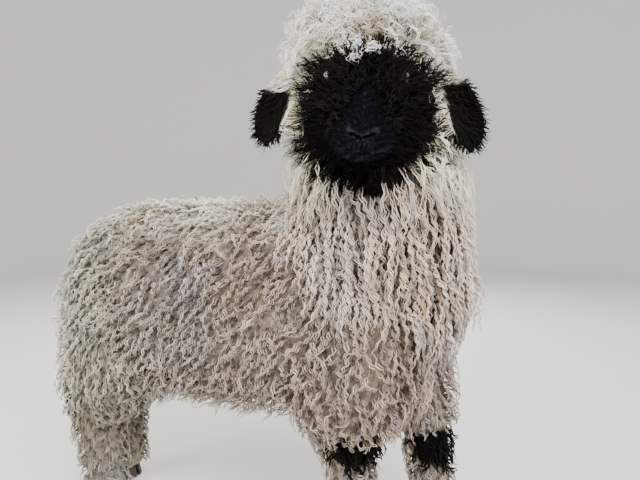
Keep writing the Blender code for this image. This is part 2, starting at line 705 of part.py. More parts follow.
def claw(name, foot, side):
    """One half of a cloven hoof: longer at the ground, round in front, flat above and below."""
    outline = ((-0.5, 0.25), (-0.36, 0.72), (-0.1, 1.0), (0.3, 1.0), (0.5, 0.6))
    levels = ((0.0, 1.0, 0.0), (HOOF_HEIGHT - GAP / 2, 0.74, 0.006))
    verts = []
    for inner in (True, False):
        for z, stretch, shift in levels:
            for place, wide in outline:
                out = CLEFT / 2 + (0 if inner else CLAW_WIDTH * wide)
                verts.append((foot[0] + side * out, foot[1] + place * CLAW_LENGTH * stretch + shift, z))
    low_in, high_in, low_out, high_out = (range(k, k + 5) for k in (0, 5, 10, 15))
    faces = [
        (a[i], a[i + 1], b[i + 1], b[i])
        for a, b in ((low_in, high_in), (low_out, high_out), (low_in, low_out), (high_in, high_out))
        for i in range(4)
    ]
    faces += [(low_in[e], low_out[e], high_out[e], high_in[e]) for e in (0, 4)]
    return add_object(name, verts, faces)


def part_body(whole):
    """Parts the fused body into its nodes with thin cuts."""
    nodes = {}
    upper = boolean(copy_of(whole, "upper"), [block(name, GAP / 2) for name in LEGS], "DIFFERENCE")
    nodes["head"] = boolean(copy_of(upper, "head"), [beyond(HEAD_PLANE, -1)], "DIFFERENCE")
    below = boolean(copy_of(upper, "below"), [beyond(HEAD_PLANE, 1)], "DIFFERENCE")
    nodes["neck"] = boolean(copy_of(below, "neck"), [beyond(NECK_PLANE, -1)], "DIFFERENCE")
    rear = boolean(copy_of(below, "rear"), [beyond(NECK_PLANE, 1)], "DIFFERENCE")
    nodes["torso"] = boolean(copy_of(rear, "torso"), [block("tail", GAP / 2)], "DIFFERENCE")
    nodes["tail"] = boolean(copy_of(rear, "tail"), [block("tail", -GAP / 2)], "INTERSECT")
    floor = box("floor", (-1, -1, -0.5), (1, 1, HOOF_HEIGHT + GAP / 2))
    standing = boolean(copy_of(whole, "standing"), [floor], "DIFFERENCE")
    for name in LEGS:
        nodes[name] = boolean(copy_of(standing, name), [block(name, -GAP / 2)], "INTERSECT")
    remove([upper, below, rear, standing, whole])
    for name, obj in nodes.items():
        obj.name = name
    return nodes


def centre_on_floor(objects):
    """Moves every mesh so that the origin is under the middle of their common box."""
    corners = np.array([tuple(corner) for obj in objects for corner in obj.bound_box])
    middle = (corners.min(axis=0) + corners.max(axis=0)) / 2
    for obj in objects:
        obj.data.transform(Matrix.Translation((-middle[0], -middle[1], 0.0)))


def material(name):
    found = bpy.data.materials.get(name)
    if found:
        return found
    made = bpy.data.materials.new(name)
    made.use_nodes = True
    shader = made.node_tree.nodes["Principled BSDF"]
    shader.inputs["Base Color"].default_value = (*COLOURS[name], 1.0)
    shader.inputs["Roughness"].default_value = ROUGHNESS.get(name, 0.95)
    shader.inputs["Metallic"].default_value = 0.0
    return made


def finish(obj, name, black=None):
    """Gives an object its material, the black one where black says so of a face's middle, and smooth faces."""
    obj.data.materials.clear()
    obj.data.materials.append(material(name))
    if black:
        obj.data.materials.append(material("black"))
        for face in obj.data.polygons:
            face.material_index = int(black(face.center))
    obj.data.shade_smooth()
    obj.data.set_sharp_from_angle(angle=math.radians(40))


def black_face(point):
    """The dark wool of the face, round the head's middle line and below the topknot."""
    local = point - POLL
    f, left, up = local.dot(HEAD_FORWARD), local.dot(HEAD_LEFT), local.dot(HEAD_UP) - CHEEK_PLACE[2]
    return f > 0.165 or (f > 0.0 and up < 0.085 and math.hypot(left, up) < FACE_BLACK)


def main():
    remove(list(bpy.data.objects))
    random = np.random.default_rng(SEED)
    cores = [trunk(), neck(), crown(), cheeks(), skull(), limb("tail", TAIL, TAIL_COAT, 6, 6)]
    cores += [limb(name, outline, LEG_COAT, 9, 8) for name, outline in LEGS.items()]
    skin = tree_of(cores[4])
    body = boolean(copy_of(cores[0], "body"), [copy_of(core, "core") for core in cores[1:]], "UNION")
    tufts = coat(tree_of(body), cores, random)
    whole = body
    for first in range(0, len(tufts), BATCH):
        whole = boolean(whole, tufts[first : first + BATCH], "UNION")
    whole = thinned(whole, BODY_FACES)
    whole = boolean(whole, [lid for side in (1, -1) for lid in lids(side)], "UNION")
    remove(cores)
    ears = {word: ear("ear_" + word, side) for side, word in ((1, "left"), (-1, "right"))}
    cutters = face_grooves(skin)
    for side in (1, -1):
        centre, *axes = eye_axes(side)
        cutters.append(ellipsoid("socket", centre, axes, [EYE_RADIUS + 1.5 * GAP] * 3, 7, 12))
    cutters += [drawn_in(copy_of(obj, "seat"), -k * GAP) for obj in ears.values() for k in (0, 3)]
    nodes = part_body(boolean(whole, cutters, "DIFFERENCE"))
    eyes = []
    for side, word in ((1, "left"), (-1, "right")):
        centre, *axes = eye_axes(side)
        eyes.append(ellipsoid("eye_" + word, centre, axes, [EYE_RADIUS] * 3, 7, 12))
    claws = [
        claw(f"{name}_claw_{word}", outline[-1][:2], side)
        for name, outline in LEGS.items()
        for side, word in ((1, "left"), (-1, "right"))
    ]
    centre_on_floor(list(bpy.data.objects))
    middle = sum((Vector(c) for c in eyes[0].bound_box), Vector()) / 8 - eye_axes(1)[0]
    for name in ("torso", "tail"):
        finish(nodes[name], "fleece")
    finish(nodes["neck"], "ruff")
    finish(nodes["head"], "ruff", lambda p: black_face(p - middle))
    for name in LEGS:
        finish(nodes[name], "legs", lambda p: abs(p.z - KNEE_HEIGHT) < KNEE_PATCH)
    for obj in ears.values():
        finish(obj, "black")
    for obj in eyes:
        finish(obj, "eye")
    for obj in claws:
        finish(obj, "hoof")


main()
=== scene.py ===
"""The looks of a standing black-nosed mountain sheep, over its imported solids, in metres.

The outlines are those of the solids, in the animal's own frame: breast towards -Y, left side +X, hooves on
Z = 0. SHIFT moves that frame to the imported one. One skin lies where the cores of the solids' coats lie, and
the wool grows from it in locks of thin strands that are combed along the body.
"""

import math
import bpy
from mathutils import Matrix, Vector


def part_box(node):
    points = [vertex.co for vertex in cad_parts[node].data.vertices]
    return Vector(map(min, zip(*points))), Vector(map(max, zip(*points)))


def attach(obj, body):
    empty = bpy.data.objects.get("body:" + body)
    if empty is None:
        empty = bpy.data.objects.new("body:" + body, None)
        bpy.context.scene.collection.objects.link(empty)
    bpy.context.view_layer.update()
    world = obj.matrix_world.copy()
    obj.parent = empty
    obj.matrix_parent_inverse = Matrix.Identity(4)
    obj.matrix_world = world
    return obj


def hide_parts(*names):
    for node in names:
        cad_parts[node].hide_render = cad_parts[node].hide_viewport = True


bl_info = {
    "name": "Black-nosed Sheep",
    "version": (1, 0, 0),
    "blender": (4, 5, 0),
    "location": "View3D > Sidebar > Sheep",
    "description": "Skin, wool, eyes, hooves and stage of a standing black-nosed mountain sheep",
    "category": "Object",
}

from collections import namedtuple
from functools import lru_cache

import bmesh
import bpy
import numpy as np
from bpy.props import FloatProperty, FloatVectorProperty, IntProperty, PointerProperty
from mathutils import Vector

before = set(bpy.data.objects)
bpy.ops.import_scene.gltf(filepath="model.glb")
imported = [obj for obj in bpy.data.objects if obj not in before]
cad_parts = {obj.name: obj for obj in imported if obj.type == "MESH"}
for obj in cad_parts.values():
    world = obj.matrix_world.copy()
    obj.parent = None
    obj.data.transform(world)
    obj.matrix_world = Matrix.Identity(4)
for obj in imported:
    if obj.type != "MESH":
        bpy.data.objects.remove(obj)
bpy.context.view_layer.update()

UP = np.array((0.0, 0.0, 1.0))
SIDES = ((1, "left"), (-1, "right"))
HOOF_HEIGHT = 0.045
CLAW_LENGTH = 0.056
CLAW_WIDTH = 0.026
CLEFT = 0.004

# Depth of the wool over the skin in each region, out to the tips of the solids' locks.
TRUNK_COAT = 0.029
NECK_COAT = 0.043
CROWN_COAT = 0.046
FACE_COAT = 0.022
LEG_COAT = 0.015
TAIL_COAT = 0.016
MUZZLE_COAT = 0.0016

# Breast to buttocks: y, top z, bottom z, half width.
TRUNK = (
    (-0.405, 0.640, 0.440, 0.070),
    (-0.375, 0.700, 0.395, 0.118),
    (-0.320, 0.755, 0.362, 0.150),
    (-0.210, 0.773, 0.345, 0.178),
    (-0.080, 0.771, 0.332, 0.200),
    (0.080, 0.771, 0.326, 0.212),
    (0.220, 0.774, 0.336, 0.212),
    (0.330, 0.765, 0.372, 0.200),
    (0.410, 0.735, 0.420, 0.170),
    (0.462, 0.675, 0.480, 0.115),
)
TRUNK_FULLNESS = 2.4

# Breast to poll: x, y, z, half width, depth towards the throat, depth towards the nape.
NECK = (
    (0.000, -0.225, 0.430, 0.105, 0.150, 0.090),
    (0.000, -0.238, 0.510, 0.145, 0.186, 0.115),
    (-0.003, -0.255, 0.600, 0.166, 0.195, 0.140),
    (-0.012, -0.270, 0.700, 0.168, 0.182, 0.156),
    (-0.024, -0.276, 0.800, 0.166, 0.168, 0.162),
    (-0.045, -0.276, 0.890, 0.160, 0.150, 0.152),
    (-0.066, -0.274, 0.960, 0.145, 0.130, 0.132),
)
NECK_FULLNESS = 2.1

# Shoulder or hip to pastern: x, y, z, half width, half depth.
FORELEG_RIGHT = (
    (-0.085, -0.265, 0.560, 0.085, 0.125),
    (-0.085, -0.240, 0.430, 0.078, 0.122),
    (-0.078, -0.236, 0.362, 0.070, 0.104),
    (-0.068, -0.237, 0.325, 0.063, 0.078),
    (-0.058, -0.240, 0.270, 0.058, 0.058),
    (-0.056, -0.241, 0.190, 0.052, 0.053),
    (-0.055, -0.243, 0.110, 0.053, 0.054),
    (-0.055, -0.246, 0.040, 0.046, 0.049),
)
FORELEG_LEFT = (
    (0.085, -0.275, 0.560, 0.085, 0.125),
    (0.088, -0.285, 0.430, 0.078, 0.118),
    (0.089, -0.318, 0.362, 0.068, 0.098),
    (0.089, -0.337, 0.325, 0.062, 0.076),
    (0.088, -0.357, 0.262, 0.058, 0.058),
    (0.088, -0.366, 0.190, 0.052, 0.053),
    (0.088, -0.374, 0.110, 0.053, 0.054),
    (0.088, -0.382, 0.040, 0.046, 0.049),
)
HINDLEG_RIGHT = (
    (-0.100, 0.290, 0.580, 0.098, 0.150),
    (-0.112, 0.305, 0.430, 0.090, 0.146),
    (-0.114, 0.345, 0.345, 0.076, 0.112),
    (-0.112, 0.378, 0.275, 0.064, 0.074),
    (-0.108, 0.374, 0.200, 0.058, 0.060),
    (-0.106, 0.365, 0.110, 0.055, 0.056),
    (-0.105, 0.358, 0.040, 0.048, 0.051),
)
HINDLEG_LEFT = (
    (0.095, 0.295, 0.580, 0.098, 0.150),
    (0.098, 0.340, 0.430, 0.090, 0.138),
    (0.084, 0.415, 0.345, 0.074, 0.098),
    (0.066, 0.472, 0.275, 0.063, 0.068),
    (0.062, 0.474, 0.200, 0.057, 0.058),
    (0.060, 0.470, 0.110, 0.055, 0.056),
    (0.060, 0.466, 0.040, 0.048, 0.051),
)
LEGS = {
    "foreleg_right": FORELEG_RIGHT,
    "foreleg_left": FORELEG_LEFT,
    "hindleg_right": HINDLEG_RIGHT,
    "hindleg_left": HINDLEG_LEFT,
}
# Black patch of each leg: height of its middle, half its height, and -1 in front or 1 behind.
KNEES = (
    (FORELEG_RIGHT, 0.306, 0.023, -1),
    (FORELEG_LEFT, 0.260, 0.031, -1),
    (HINDLEG_RIGHT, 0.290, 0.026, 1),
    (HINDLEG_LEFT, 0.290, 0.026, 1),
)
KNEE_REACH = 0.085  # from the leg's middle line

# Tail, root to tip: x, y, z, half width, half depth.
TAIL = (
    (0.000, 0.420, 0.680, 0.044, 0.044),
    (0.002, 0.475, 0.620, 0.050, 0.046),
    (0.004, 0.502, 0.540, 0.050, 0.042),
    (0.006, 0.508, 0.470, 0.040, 0.034),
    (0.008, 0.506, 0.425, 0.022, 0.022),
)

# The head hangs on its poll point and is measured forward, left and up from there.
POLL = np.array((-0.073, -0.275, 0.995))
HEAD_TURN = math.radians(72.6)
HEAD_DROP = math.radians(35.0)
HEAD_LEAN = math.radians(3.0)

# Skin of the head, nose to poll: forward, half width, top, bottom.
SKULL = (
    (0.2540, 0.0270, 0.000, -0.030),
    (0.2460, 0.0345, 0.008, -0.042),
    (0.2300, 0.0385, 0.017, -0.053),
    (0.2000, 0.0390, 0.029, -0.057),
    (0.1700, 0.0430, 0.041, -0.064),
    (0.1400, 0.0540, 0.052, -0.078),
    (0.1100, 0.0630, 0.060, -0.091),
    (0.0700, 0.0660, 0.064, -0.094),
    (0.0300, 0.0610, 0.056, -0.082),
    (-0.0100, 0.0450, 0.036, -0.056),
)
SKULL_FULLNESS = 2.2
# The foremost ring of the nose, in the same way.
NOSE_TIP = (0.2572, 0.0008, -0.0145, -0.0155)

# Line of a nostril, from its outer end to its inner end: to the side, up.
NOSTRIL_LINE = ((0.0170, 0.0010), (0.0130, 0.0008), (0.0080, -0.0004), (0.0030, -0.0022))
MOUTH_HEIGHT = -0.029  # up, of the middle of the line of the mouth
MUZZLE_REACH = 0.085  # from the line that runs along the head through the middle of the cheeks
# Short-haired strip of the bridge and nose: forward, half width.
BARE = ((0.180, 0.002), (0.189, 0.014), (0.199, 0.021), (0.214, 0.028), (0.226, 0.060))
NOSE_START = 0.21  # forward, where the front of the nose begins

EYE_PLACE = (0.118, 0.0500, 0.024)  # forward, to the side, up
EYE_RADIUS = 0.0150
EYEBALL_RADIUS = 0.985 * EYE_RADIUS
EYE_GAZE = (0.42, 0.90, 0.10)
LID_THICKNESS = 0.0030
LID_REACH = math.radians(66)
LID_OPENINGS = {"upper": math.radians(34), "lower": math.radians(-26)}

# Ear, root to tip, from the poll: level forward, to the side, up, half width.
EAR = (
    (0.058, 0.056, -0.026, 0.016),
    (0.056, 0.090, -0.026, 0.022),
    (0.052, 0.122, -0.036, 0.028),
    (0.050, 0.148, -0.062, 0.032),
    (0.052, 0.164, -0.098, 0.031),
    (0.056, 0.170, -0.130, 0.021),
    (0.060, 0.171, -0.148, 0.010),
)
EAR_THICKNESS = 0.005
EAR_CUP = 0.50
# Black of an ear: how far out it begins, the height that it reaches and how far its edge slants.
EAR_BLACK = (0.124, 0.955, 0.27)
CROWN_CENTRE = np.array((-0.096, -0.282, 0.990))
CROWN_RADII = np.array((0.152, 0.124, 0.136))  # across, along the head, up
CHEEK_PLACE = (0.050, 0.0, -0.022)
CHEEK_RADII = np.array((0.086, 0.048, 0.095))  # across, along the head, up
BLACK_PLACE = (0.105, 0.006, -0.018)  # middle of the black wool, forward, left and up from the poll
BLACK_REACH = (0.095, 0.074, 0.132)  # to the sides, up and down

# Middle and normal of the plane between the fleece and the ruff.
NECK_PLANE = (np.array((0.0, -0.105, 0.785)), np.array((0.0, -0.822, 0.570)))

NAPE_HEIGHT = 0.785  # above it the wool of the neck is frizz, and below it ringlets
THIGH_HEIGHT = 0.31  # above it the wool of the legs is curled as on the trunk
LOWEST_WOOL = 0.052  # height of the lowest wool, over the claws
BELLY_TILT = -0.62  # upward part of the normal, below which the wool of the trunk is belly wool
HEAD_HEIGHT = 0.75  # above it all black is that of the head
BROW_HEIGHT = 0.03  # up from the poll, above which pale wool may hang over the black

# The camera, in the animal's frame.
CAMERA_PLACE = np.array((-0.895, -0.565, 0.755))
CAMERA_HEADING = np.array((0.906, 0.4226, 0.0))
CAMERA_PITCH = math.radians(4.2)


def circle(count):
    """Even steps round a circle, in radians."""
    return 2 * math.pi * np.arange(count) / count


def grid_of(*parts):
    """Numbers of points put together, once they are spread to a common shape."""
    return np.stack(np.broadcast_arrays(*parts), axis=-1)


def mix(first, second, share):
    """From first at 0 to second at 1."""
    return first * (1 - share) + np.asarray(second) * share


def unit(vectors):
    """Vectors divided by their lengths."""
    return vectors / np.maximum(np.linalg.norm(vectors, axis=-1, keepdims=True), 1e-9)


def dot(first, second):
    """Dot products along the last axis, which is kept."""
    return (first * second).sum(axis=-1, keepdims=True)


def ease(low, high, value):
    """A smooth step from 0 at low to 1 at high: 3t^2 - 2t^3."""
    t = np.clip((value - low) / (high - low), 0.0, 1.0)
    return t * t * (3 - 2 * t)


def bump(value, centre, width):
    """A bell curve: exp(-((value - centre) / width)^2)."""
    return np.exp(-(((value - centre) / width) ** 2))


LEVEL = np.array((-math.sin(HEAD_TURN), -math.cos(HEAD_TURN), 0.0))
HEAD_FORWARD = LEVEL * math.cos(HEAD_DROP) - UP * math.sin(HEAD_DROP)
ACROSS = np.cross(UP, LEVEL)
HEAD_LEFT = ACROSS * math.cos(HEAD_LEAN) - np.cross(HEAD_FORWARD, ACROSS) * math.sin(HEAD_LEAN)
HEAD_UP = np.cross(HEAD_FORWARD, HEAD_LEFT)
HEAD_AXES = np.array((HEAD_FORWARD, HEAD_LEFT, HEAD_UP))
SPOT_PLACE = CROWN_CENTRE + LEVEL * 0.104 + UP * 0.036 + HEAD_LEFT * 0.012
SPOT_RADIUS = 0.022


def on_head(local):
    """Points measured forward, left and up from the poll, in the animal's frame."""
    return POLL + np.asarray(local, float) @ HEAD_AXES


def to_head(points):
    """Points of the animal's frame measured forward, left and up from the poll."""
    return (points - POLL) @ HEAD_AXES.T


def middle_of(name):
    """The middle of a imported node's box."""
    low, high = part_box(name)
    return (np.array(low) + np.array(high)) / 2


SHIFT = (middle_of("eye_left") + middle_of("eye_right")) / 2 - on_head((EYE_PLACE[0], 0.0, EYE_PLACE[2]))
SHIFT[2] = 0.0


# Surfaces as grids of points

DOME_RINGS = 6
DOME_TURN = 0.985  # share of a quarter turn that a dome reaches
DOME_REACH = 0.6  # height of a dome as a share of its radius


def spline(points, t):
    """A Catmull-Rom curve between the middle two of four points, at t from 0 to 1."""
    a, b, c, d = points
    return 0.5 * (2 * b + (c - a) * t + (2 * a - 5 * b + 4 * c - d) * t**2 + (3 * b - a - 3 * c + d) * t**3)


def smoothed(rows, places):
    """Rows of numbers read at fractions of the length of a Catmull-Rom curve through the given rows."""
    rows = np.asarray(rows, float)
    padded = np.vstack((2 * rows[0] - rows[1], rows, 2 * rows[-1] - rows[-2]))
    steps = np.linalg.norm(np.diff(rows[:, :3], axis=0), axis=1)
    along = np.concatenate(([0.0], np.cumsum(steps)))
    places = np.asarray(places) * along[-1]
    index = np.clip(np.searchsorted(along, places, side="right") - 1, 0, len(steps) - 1)
    t = ((places - along[index]) / steps[index])[:, None]
    return spline((padded[index + k] for k in range(4)), t)


def superellipse(sides, fullness):
    """Points round a superellipse from its top: cos and sin to the power 2 / fullness, with their signs."""
    angle = math.pi / 2 + circle(sides)
    return (np.sign(f(angle)) * np.abs(f(angle)) ** (2 / fullness) for f in (np.cos, np.sin))


def tube(centres, side, across, over, under, sides, fullness=2.0):
    """Superellipse rings carried along a path: centre + side across cos^(2/n) + up depth sin^(2/n).

    Each end is closed by rings of a dome, whose sizes go with cos and whose places go with sin.
    """
    tangent = unit(np.gradient(centres, axis=0))
    side = np.broadcast_to(np.asarray(side, float), centres.shape)
    side = unit(side - dot(side, tangent) * tangent)
    up = np.cross(side, tangent)
    c, s = superellipse(sides, fullness)
    depth = np.where(s[None, :] > 0, over[:, None], under[:, None])
    wide = side[:, None, :] * (across[:, None] * c)[:, :, None]
    rings = centres[:, None, :] + wide + up[:, None, :] * (depth * s)[:, :, None]
    turn = np.linspace(0, math.pi / 2, DOME_RINGS + 1)[1:] * DOME_TURN
    domes = []
    for end, way in ((0, -1), (-1, 1)):
        reach = DOME_REACH * min(across[end], over[end])
        dome = centres[end] + (rings[end] - centres[end]) * np.cos(turn)[:, None, None]
        domes.append(dome + tangent[end] * (way * reach * np.sin(turn))[:, None, None])
    return np.concatenate((domes[0][::-1], rings, domes[1]))


def ball(centre, axes, radii, rings=40, sides=56):
    """An ellipsoid: centre + axes (sin t cos a, sin t sin a, -cos t) with a radius along each axis."""
    turn = np.linspace(0.02, math.pi - 0.02, rings)[:, None]
    angle = circle(sides)[None, :]
    local = grid_of(np.sin(turn) * np.cos(angle), np.sin(turn) * np.sin(angle), -np.cos(turn))
    return centre + local @ (np.asarray(axes) * np.asarray(radii)[:, None])


def normals_of(grid):
    """Outward normals: the cross product of the steps round the rings and along them."""
    around = np.roll(grid, -1, axis=1) - np.roll(grid, 1, axis=1)
    normal = unit(np.cross(around, np.gradient(grid, axis=0)))
    outward = grid - grid.mean(axis=1, keepdims=True)
    return normal * np.sign((normal * outward).sum())


def drawn_in(grid, depth):
    """A grid moved inwards by the depth of its coat."""
    return grid - normals_of(grid) * depth


def core(outline, rings, sides, coat, fullness=2.0):
    """A tube through rows of x, y, z, half width and depth before and behind, drawn in by its coat."""
    rows = smoothed(outline, np.linspace(0, 1, rings))
    return drawn_in(tube(rows[:, :3], (1, 0, 0), rows[:, 3], rows[:, 4], rows[:, -1], sides, fullness), coat)


@lru_cache(maxsize=None)
def cores():
    """The surfaces that the wool grows on, as grids by name."""
    trunk = [(0.0, y, (top + low) / 2, half, (top - low) / 2) for y, top, low, half in TRUNK]
    made = {
        "trunk": core(trunk, 60, 72, TRUNK_COAT, TRUNK_FULLNESS),
        "neck": core(NECK, 44, 60, NECK_COAT, NECK_FULLNESS),
        "tail": core(TAIL, 20, 24, TAIL_COAT),
    }
    for name, outline in LEGS.items():
        made[name] = core(outline, 44, 36, LEG_COAT)
    made["crown"] = ball(CROWN_CENTRE, (HEAD_LEFT, LEVEL, UP), CROWN_RADII - CROWN_COAT)
    made["cheeks"] = ball(on_head(CHEEK_PLACE), (HEAD_LEFT, HEAD_FORWARD, HEAD_UP), CHEEK_RADII)
    made["head"] = head_surface()
    return made


def head_surface(rings=150, sides=132):
    """The bare head: superellipse rings along the skull, narrowed over the bridge, then moved along their
    normals by bell curves for the brow, cheekbone, nostrils, lips, mouth and chin.
    """
    f, half, top, bottom = smoothed([NOSE_TIP, *SKULL], np.linspace(0, 1, rings) ** 1.35).T[..., None]
    half, depth = (np.maximum(values, 0.0004) for values in (half, (top - bottom) / 2))
    c, s = superellipse(sides, SKULL_FULLNESS)
    narrow = 1 - 0.26 * ease(-0.1, 1.0, s) * ease(0.05, 0.15, f)
    grid = grid_of(f, half * c * narrow, (top + bottom) / 2 + depth * s)
    normal = normals_of(grid)
    normal[0] = (1.0, 0.0, 0.0)
    return on_head(grid + normal * head_relief(grid)[..., None])


def path_distance(points, path):
    """Distance in a plane from points to a broken line, and the place along it from 0 to 1."""
    best, place = np.full(points.shape[:-1], 1e9), np.zeros(points.shape[:-1])
    for k, (a, b) in enumerate(zip(path[:-1], path[1:])):
        t = np.clip(((points - a) @ (b - a)) / ((b - a) @ (b - a)), 0, 1)
        gap = np.linalg.norm(points - a - t[..., None] * (b - a), axis=-1)
        place = np.where(gap < best, (k + t) / (len(path) - 1), place)
        best = np.minimum(gap, best)
    return best, place


def mouth_height(out):
    """Height of the line of the mouth: a shallow curve that rises towards the corners."""
    return MOUTH_HEIGHT + 0.004 * (out / 0.036) ** 2


def nostril_height(out):
    """Height of the line of the nostril at a distance from the middle."""
    return np.interp(out, *np.array(sorted(NOSTRIL_LINE)).T)


def to_nostril(local):
    """Distance from the lines of the nostrils, seen from in front."""
    folded = np.stack((np.abs(local[:, 1]), local[:, 2]), axis=1)
    return path_distance(folded, np.array(NOSTRIL_LINE))[0]


def head_relief(local):
    """How far each point of the bare head stands out, in metres, from forward, left and up."""
    f, out, up = local[..., 0], np.abs(local[..., 1]), local[..., 2]
    brow = 0.0030 * bump(f, 0.100, 0.022) * bump(up, 0.047, 0.013) * bump(out, 0.046, 0.014)
    cheekbone = 0.0035 * bump(f, 0.150, 0.030) * bump(up, 0.000, 0.010) * ease(0.030, 0.045, out)
    eye = np.hypot(f - EYE_PLACE[0], up - EYE_PLACE[2])
    socket = 0.0100 * bump(eye, 0.0, 0.0165) * ease(0.030, 0.042, out)
    bridge = 0.0018 * bump(out, 0.0, 0.012) * bump(f, 0.190, 0.045) * ease(0.0, 0.02, up)

    # The nostril's line runs through the points of the surface that lie before its own.
    folded = np.stack((f, out, up), axis=-1)
    flat = folded.reshape(-1, 3)
    score = [np.hypot(flat[:, 1] - a, flat[:, 2] - b) / 0.001 - flat[:, 0] / 0.004 for a, b in NOSTRIL_LINE]
    slit, place = path_distance(folded, flat[np.argmin(score, axis=1)])
    width = 0.0015 + 0.0013 * np.sin(math.pi * np.clip(place * 0.8 + 0.15, 0, 1))
    above = ease(-0.002, 0.002, up - nostril_height(out))
    nostril = bump(slit, 0.0042, 0.0022) * (0.0012 + 0.0026 * above) - 0.0075 * bump(slit, 0.0, width)
    between = 0.0016 * bump(out, 0.0, 0.010) * bump(up, -0.006, 0.008)
    groove = 0.0030 * bump(out, 0.0, 0.0011) * ease(-0.030, -0.026, up) * (1 - ease(-0.004, 0.000, up))
    nose = ease(0.205, 0.235, f) * (nostril + between - groove)

    line = up - mouth_height(out)
    upper = 0.0034 * bump(line, 0.0085, 0.0080) * ease(0.004, 0.016, out)
    lips = ease(0.168, 0.190, f) * (upper + 0.0022 * bump(line, -0.0070, 0.0055))
    mouth = 0.0042 * ease(0.166, 0.176, f) * bump(line, 0.0, 0.0014)
    chin = 0.0030 * bump(f, 0.212, 0.016) * bump(up, -0.054, 0.012)
    return brow + cheekbone - socket + bridge + nose + lips - mouth + chin


def ear_line(side, count):
    """Points along the middle of an ear, and its half widths there."""
    rows = smoothed(EAR, np.linspace(0, 1, count))
    return POLL + rows[:, :3] @ np.array((LEVEL, HEAD_LEFT * side, UP)), rows[:, 3]


def ear_surface(side, rings=34, sides=28):
    """A cupped leaf along the ear's path: centre + wide half cos a + front (wall sin a - cup sin^2 a)."""
    centres, half = ear_line(side, rings)
    half = half * (1 - 0.9 * ease(0.90, 1.0, np.linspace(0, 1, rings)))
    along = unit(np.gradient(centres, axis=0))
    front = LEVEL + 0.35 * HEAD_LEFT * side
    front = unit(front - dot(along, front) * along)
    wide = np.cross(along, front)
    c, s = np.cos(circle(sides)), np.sin(circle(sides))
    deep = EAR_THICKNESS * s[None, :] - EAR_CUP * half[:, None] * (s**2)[None, :]
    outline = wide[:, None, :] * (half[:, None] * c)[..., None]
    return centres[:, None, :] + outline + front[:, None, :] * deep[..., None]


def eye_axes(side):
    """Centre of an eye, then unit vectors ahead along its slit, outward along its gaze and upward."""
    f, out, up = EYE_PLACE
    gaze_f, gaze_out, gaze_up = EYE_GAZE
    outward = unit(HEAD_FORWARD * gaze_f + HEAD_LEFT * side * gaze_out + HEAD_UP * gaze_up)
    ahead = unit(HEAD_FORWARD - outward * (HEAD_FORWARD @ outward))
    upward = np.cross(outward, ahead)
    return on_head((f, side * out, up)), ahead, outward, upward * np.sign(upward @ HEAD_UP)


def lid_surface(side, opening, sides=14, rings=28):
    """One eyelid: a tube along an arc of the ball that meets the other lid at the corners of the eye."""
    centre, ahead, outward, upward = eye_axes(side)
    along = np.linspace(-LID_REACH, LID_REACH, rings)[:, None]
    lift = opening * np.cos(along * (math.pi / 2) / LID_REACH)
    way = ahead * np.sin(along) + (outward * np.cos(lift) + upward * np.sin(lift)) * np.cos(along)
    thick = LID_THICKNESS * (1 - 0.45 * np.abs(along[:, 0]) / LID_REACH)
    line = centre + way * (EYE_RADIUS + 0.25 * LID_THICKNESS)
    return tube(line, np.cross(np.gradient(line, axis=0), way), thick * 1.5, thick, thick, sides)


# Meshes


def ring_corners(rings, sides):
    """Each point of a grid but those of its last ring, and its neighbour round the ring, by number."""
    r, k = np.meshgrid(np.arange(rings - 1), np.arange(sides), indexing="ij")
    return r * sides + k, r * sides + (k + 1) % sides


def read_all(items, key, size=1, kind=np.float32):
    """One property of all points, faces or corners of a mesh, a row for each where its size is over 1."""
    values = np.empty(len(items) * size, kind)
    items.foreach_get(key, values)
    return values if size == 1 else values.reshape(-1, size)


def mesh_object(name, verts, corners, counts):
    """An object at the origin from points, the corners of its faces in a row and how many each face has."""
    mesh = bpy.data.meshes.new(name)
    mesh.vertices.add(len(verts))
    mesh.vertices.foreach_set("co", np.ascontiguousarray(verts + SHIFT, np.float32).ravel())
    mesh.loops.add(len(corners))
    mesh.loops.foreach_set("vertex_index", np.ascontiguousarray(corners, np.int32))
    mesh.polygons.add(len(counts))
    mesh.polygons.foreach_set("loop_start", np.concatenate(([0], np.cumsum(counts)[:-1])).astype(np.int32))
    mesh.polygons.foreach_set("use_smooth", np.ones(len(counts), bool))
    mesh.update(calc_edges=True)
    obj = bpy.data.objects.new(name, mesh)
    bpy.context.scene.collection.objects.link(obj)
    return obj


def from_grids(name, grids):
    """Closed surfaces from grids of rings: four-cornered faces, and one face over each end."""
    verts, corners, counts, start = [], [], [], 0
    for grid in grids:
        rings, sides = grid.shape[:2]
        a, b = ring_corners(rings, sides)
        corners += [start + np.stack((a, b, b + sides, a + sides), axis=-1).ravel()]
        corners += [start + np.arange(sides)[::-1], start + (rings - 1) * sides + np.arange(sides)]
        counts += [np.full((rings - 1) * sides, 4), [sides, sides]]
        verts.append(grid.reshape(-1, 3))
        start += rings * sides
    obj = mesh_object(name, np.concatenate(verts), np.concatenate(corners), np.concatenate(counts))
    work = bmesh.new()
    work.from_mesh(obj.data)
    bmesh.ops.recalc_face_normals(work, faces=work.faces)
    work.to_mesh(obj.data)
    work.free()
    return obj


def applied(obj):
    """Bakes the modifiers of an object into its mesh."""
    bpy.context.view_layer.update()
    mesh = bpy.data.meshes.new_from_object(obj.evaluated_get(bpy.context.evaluated_depsgraph_get()))
    obj.modifiers.clear()
    obj.data = mesh
    return obj


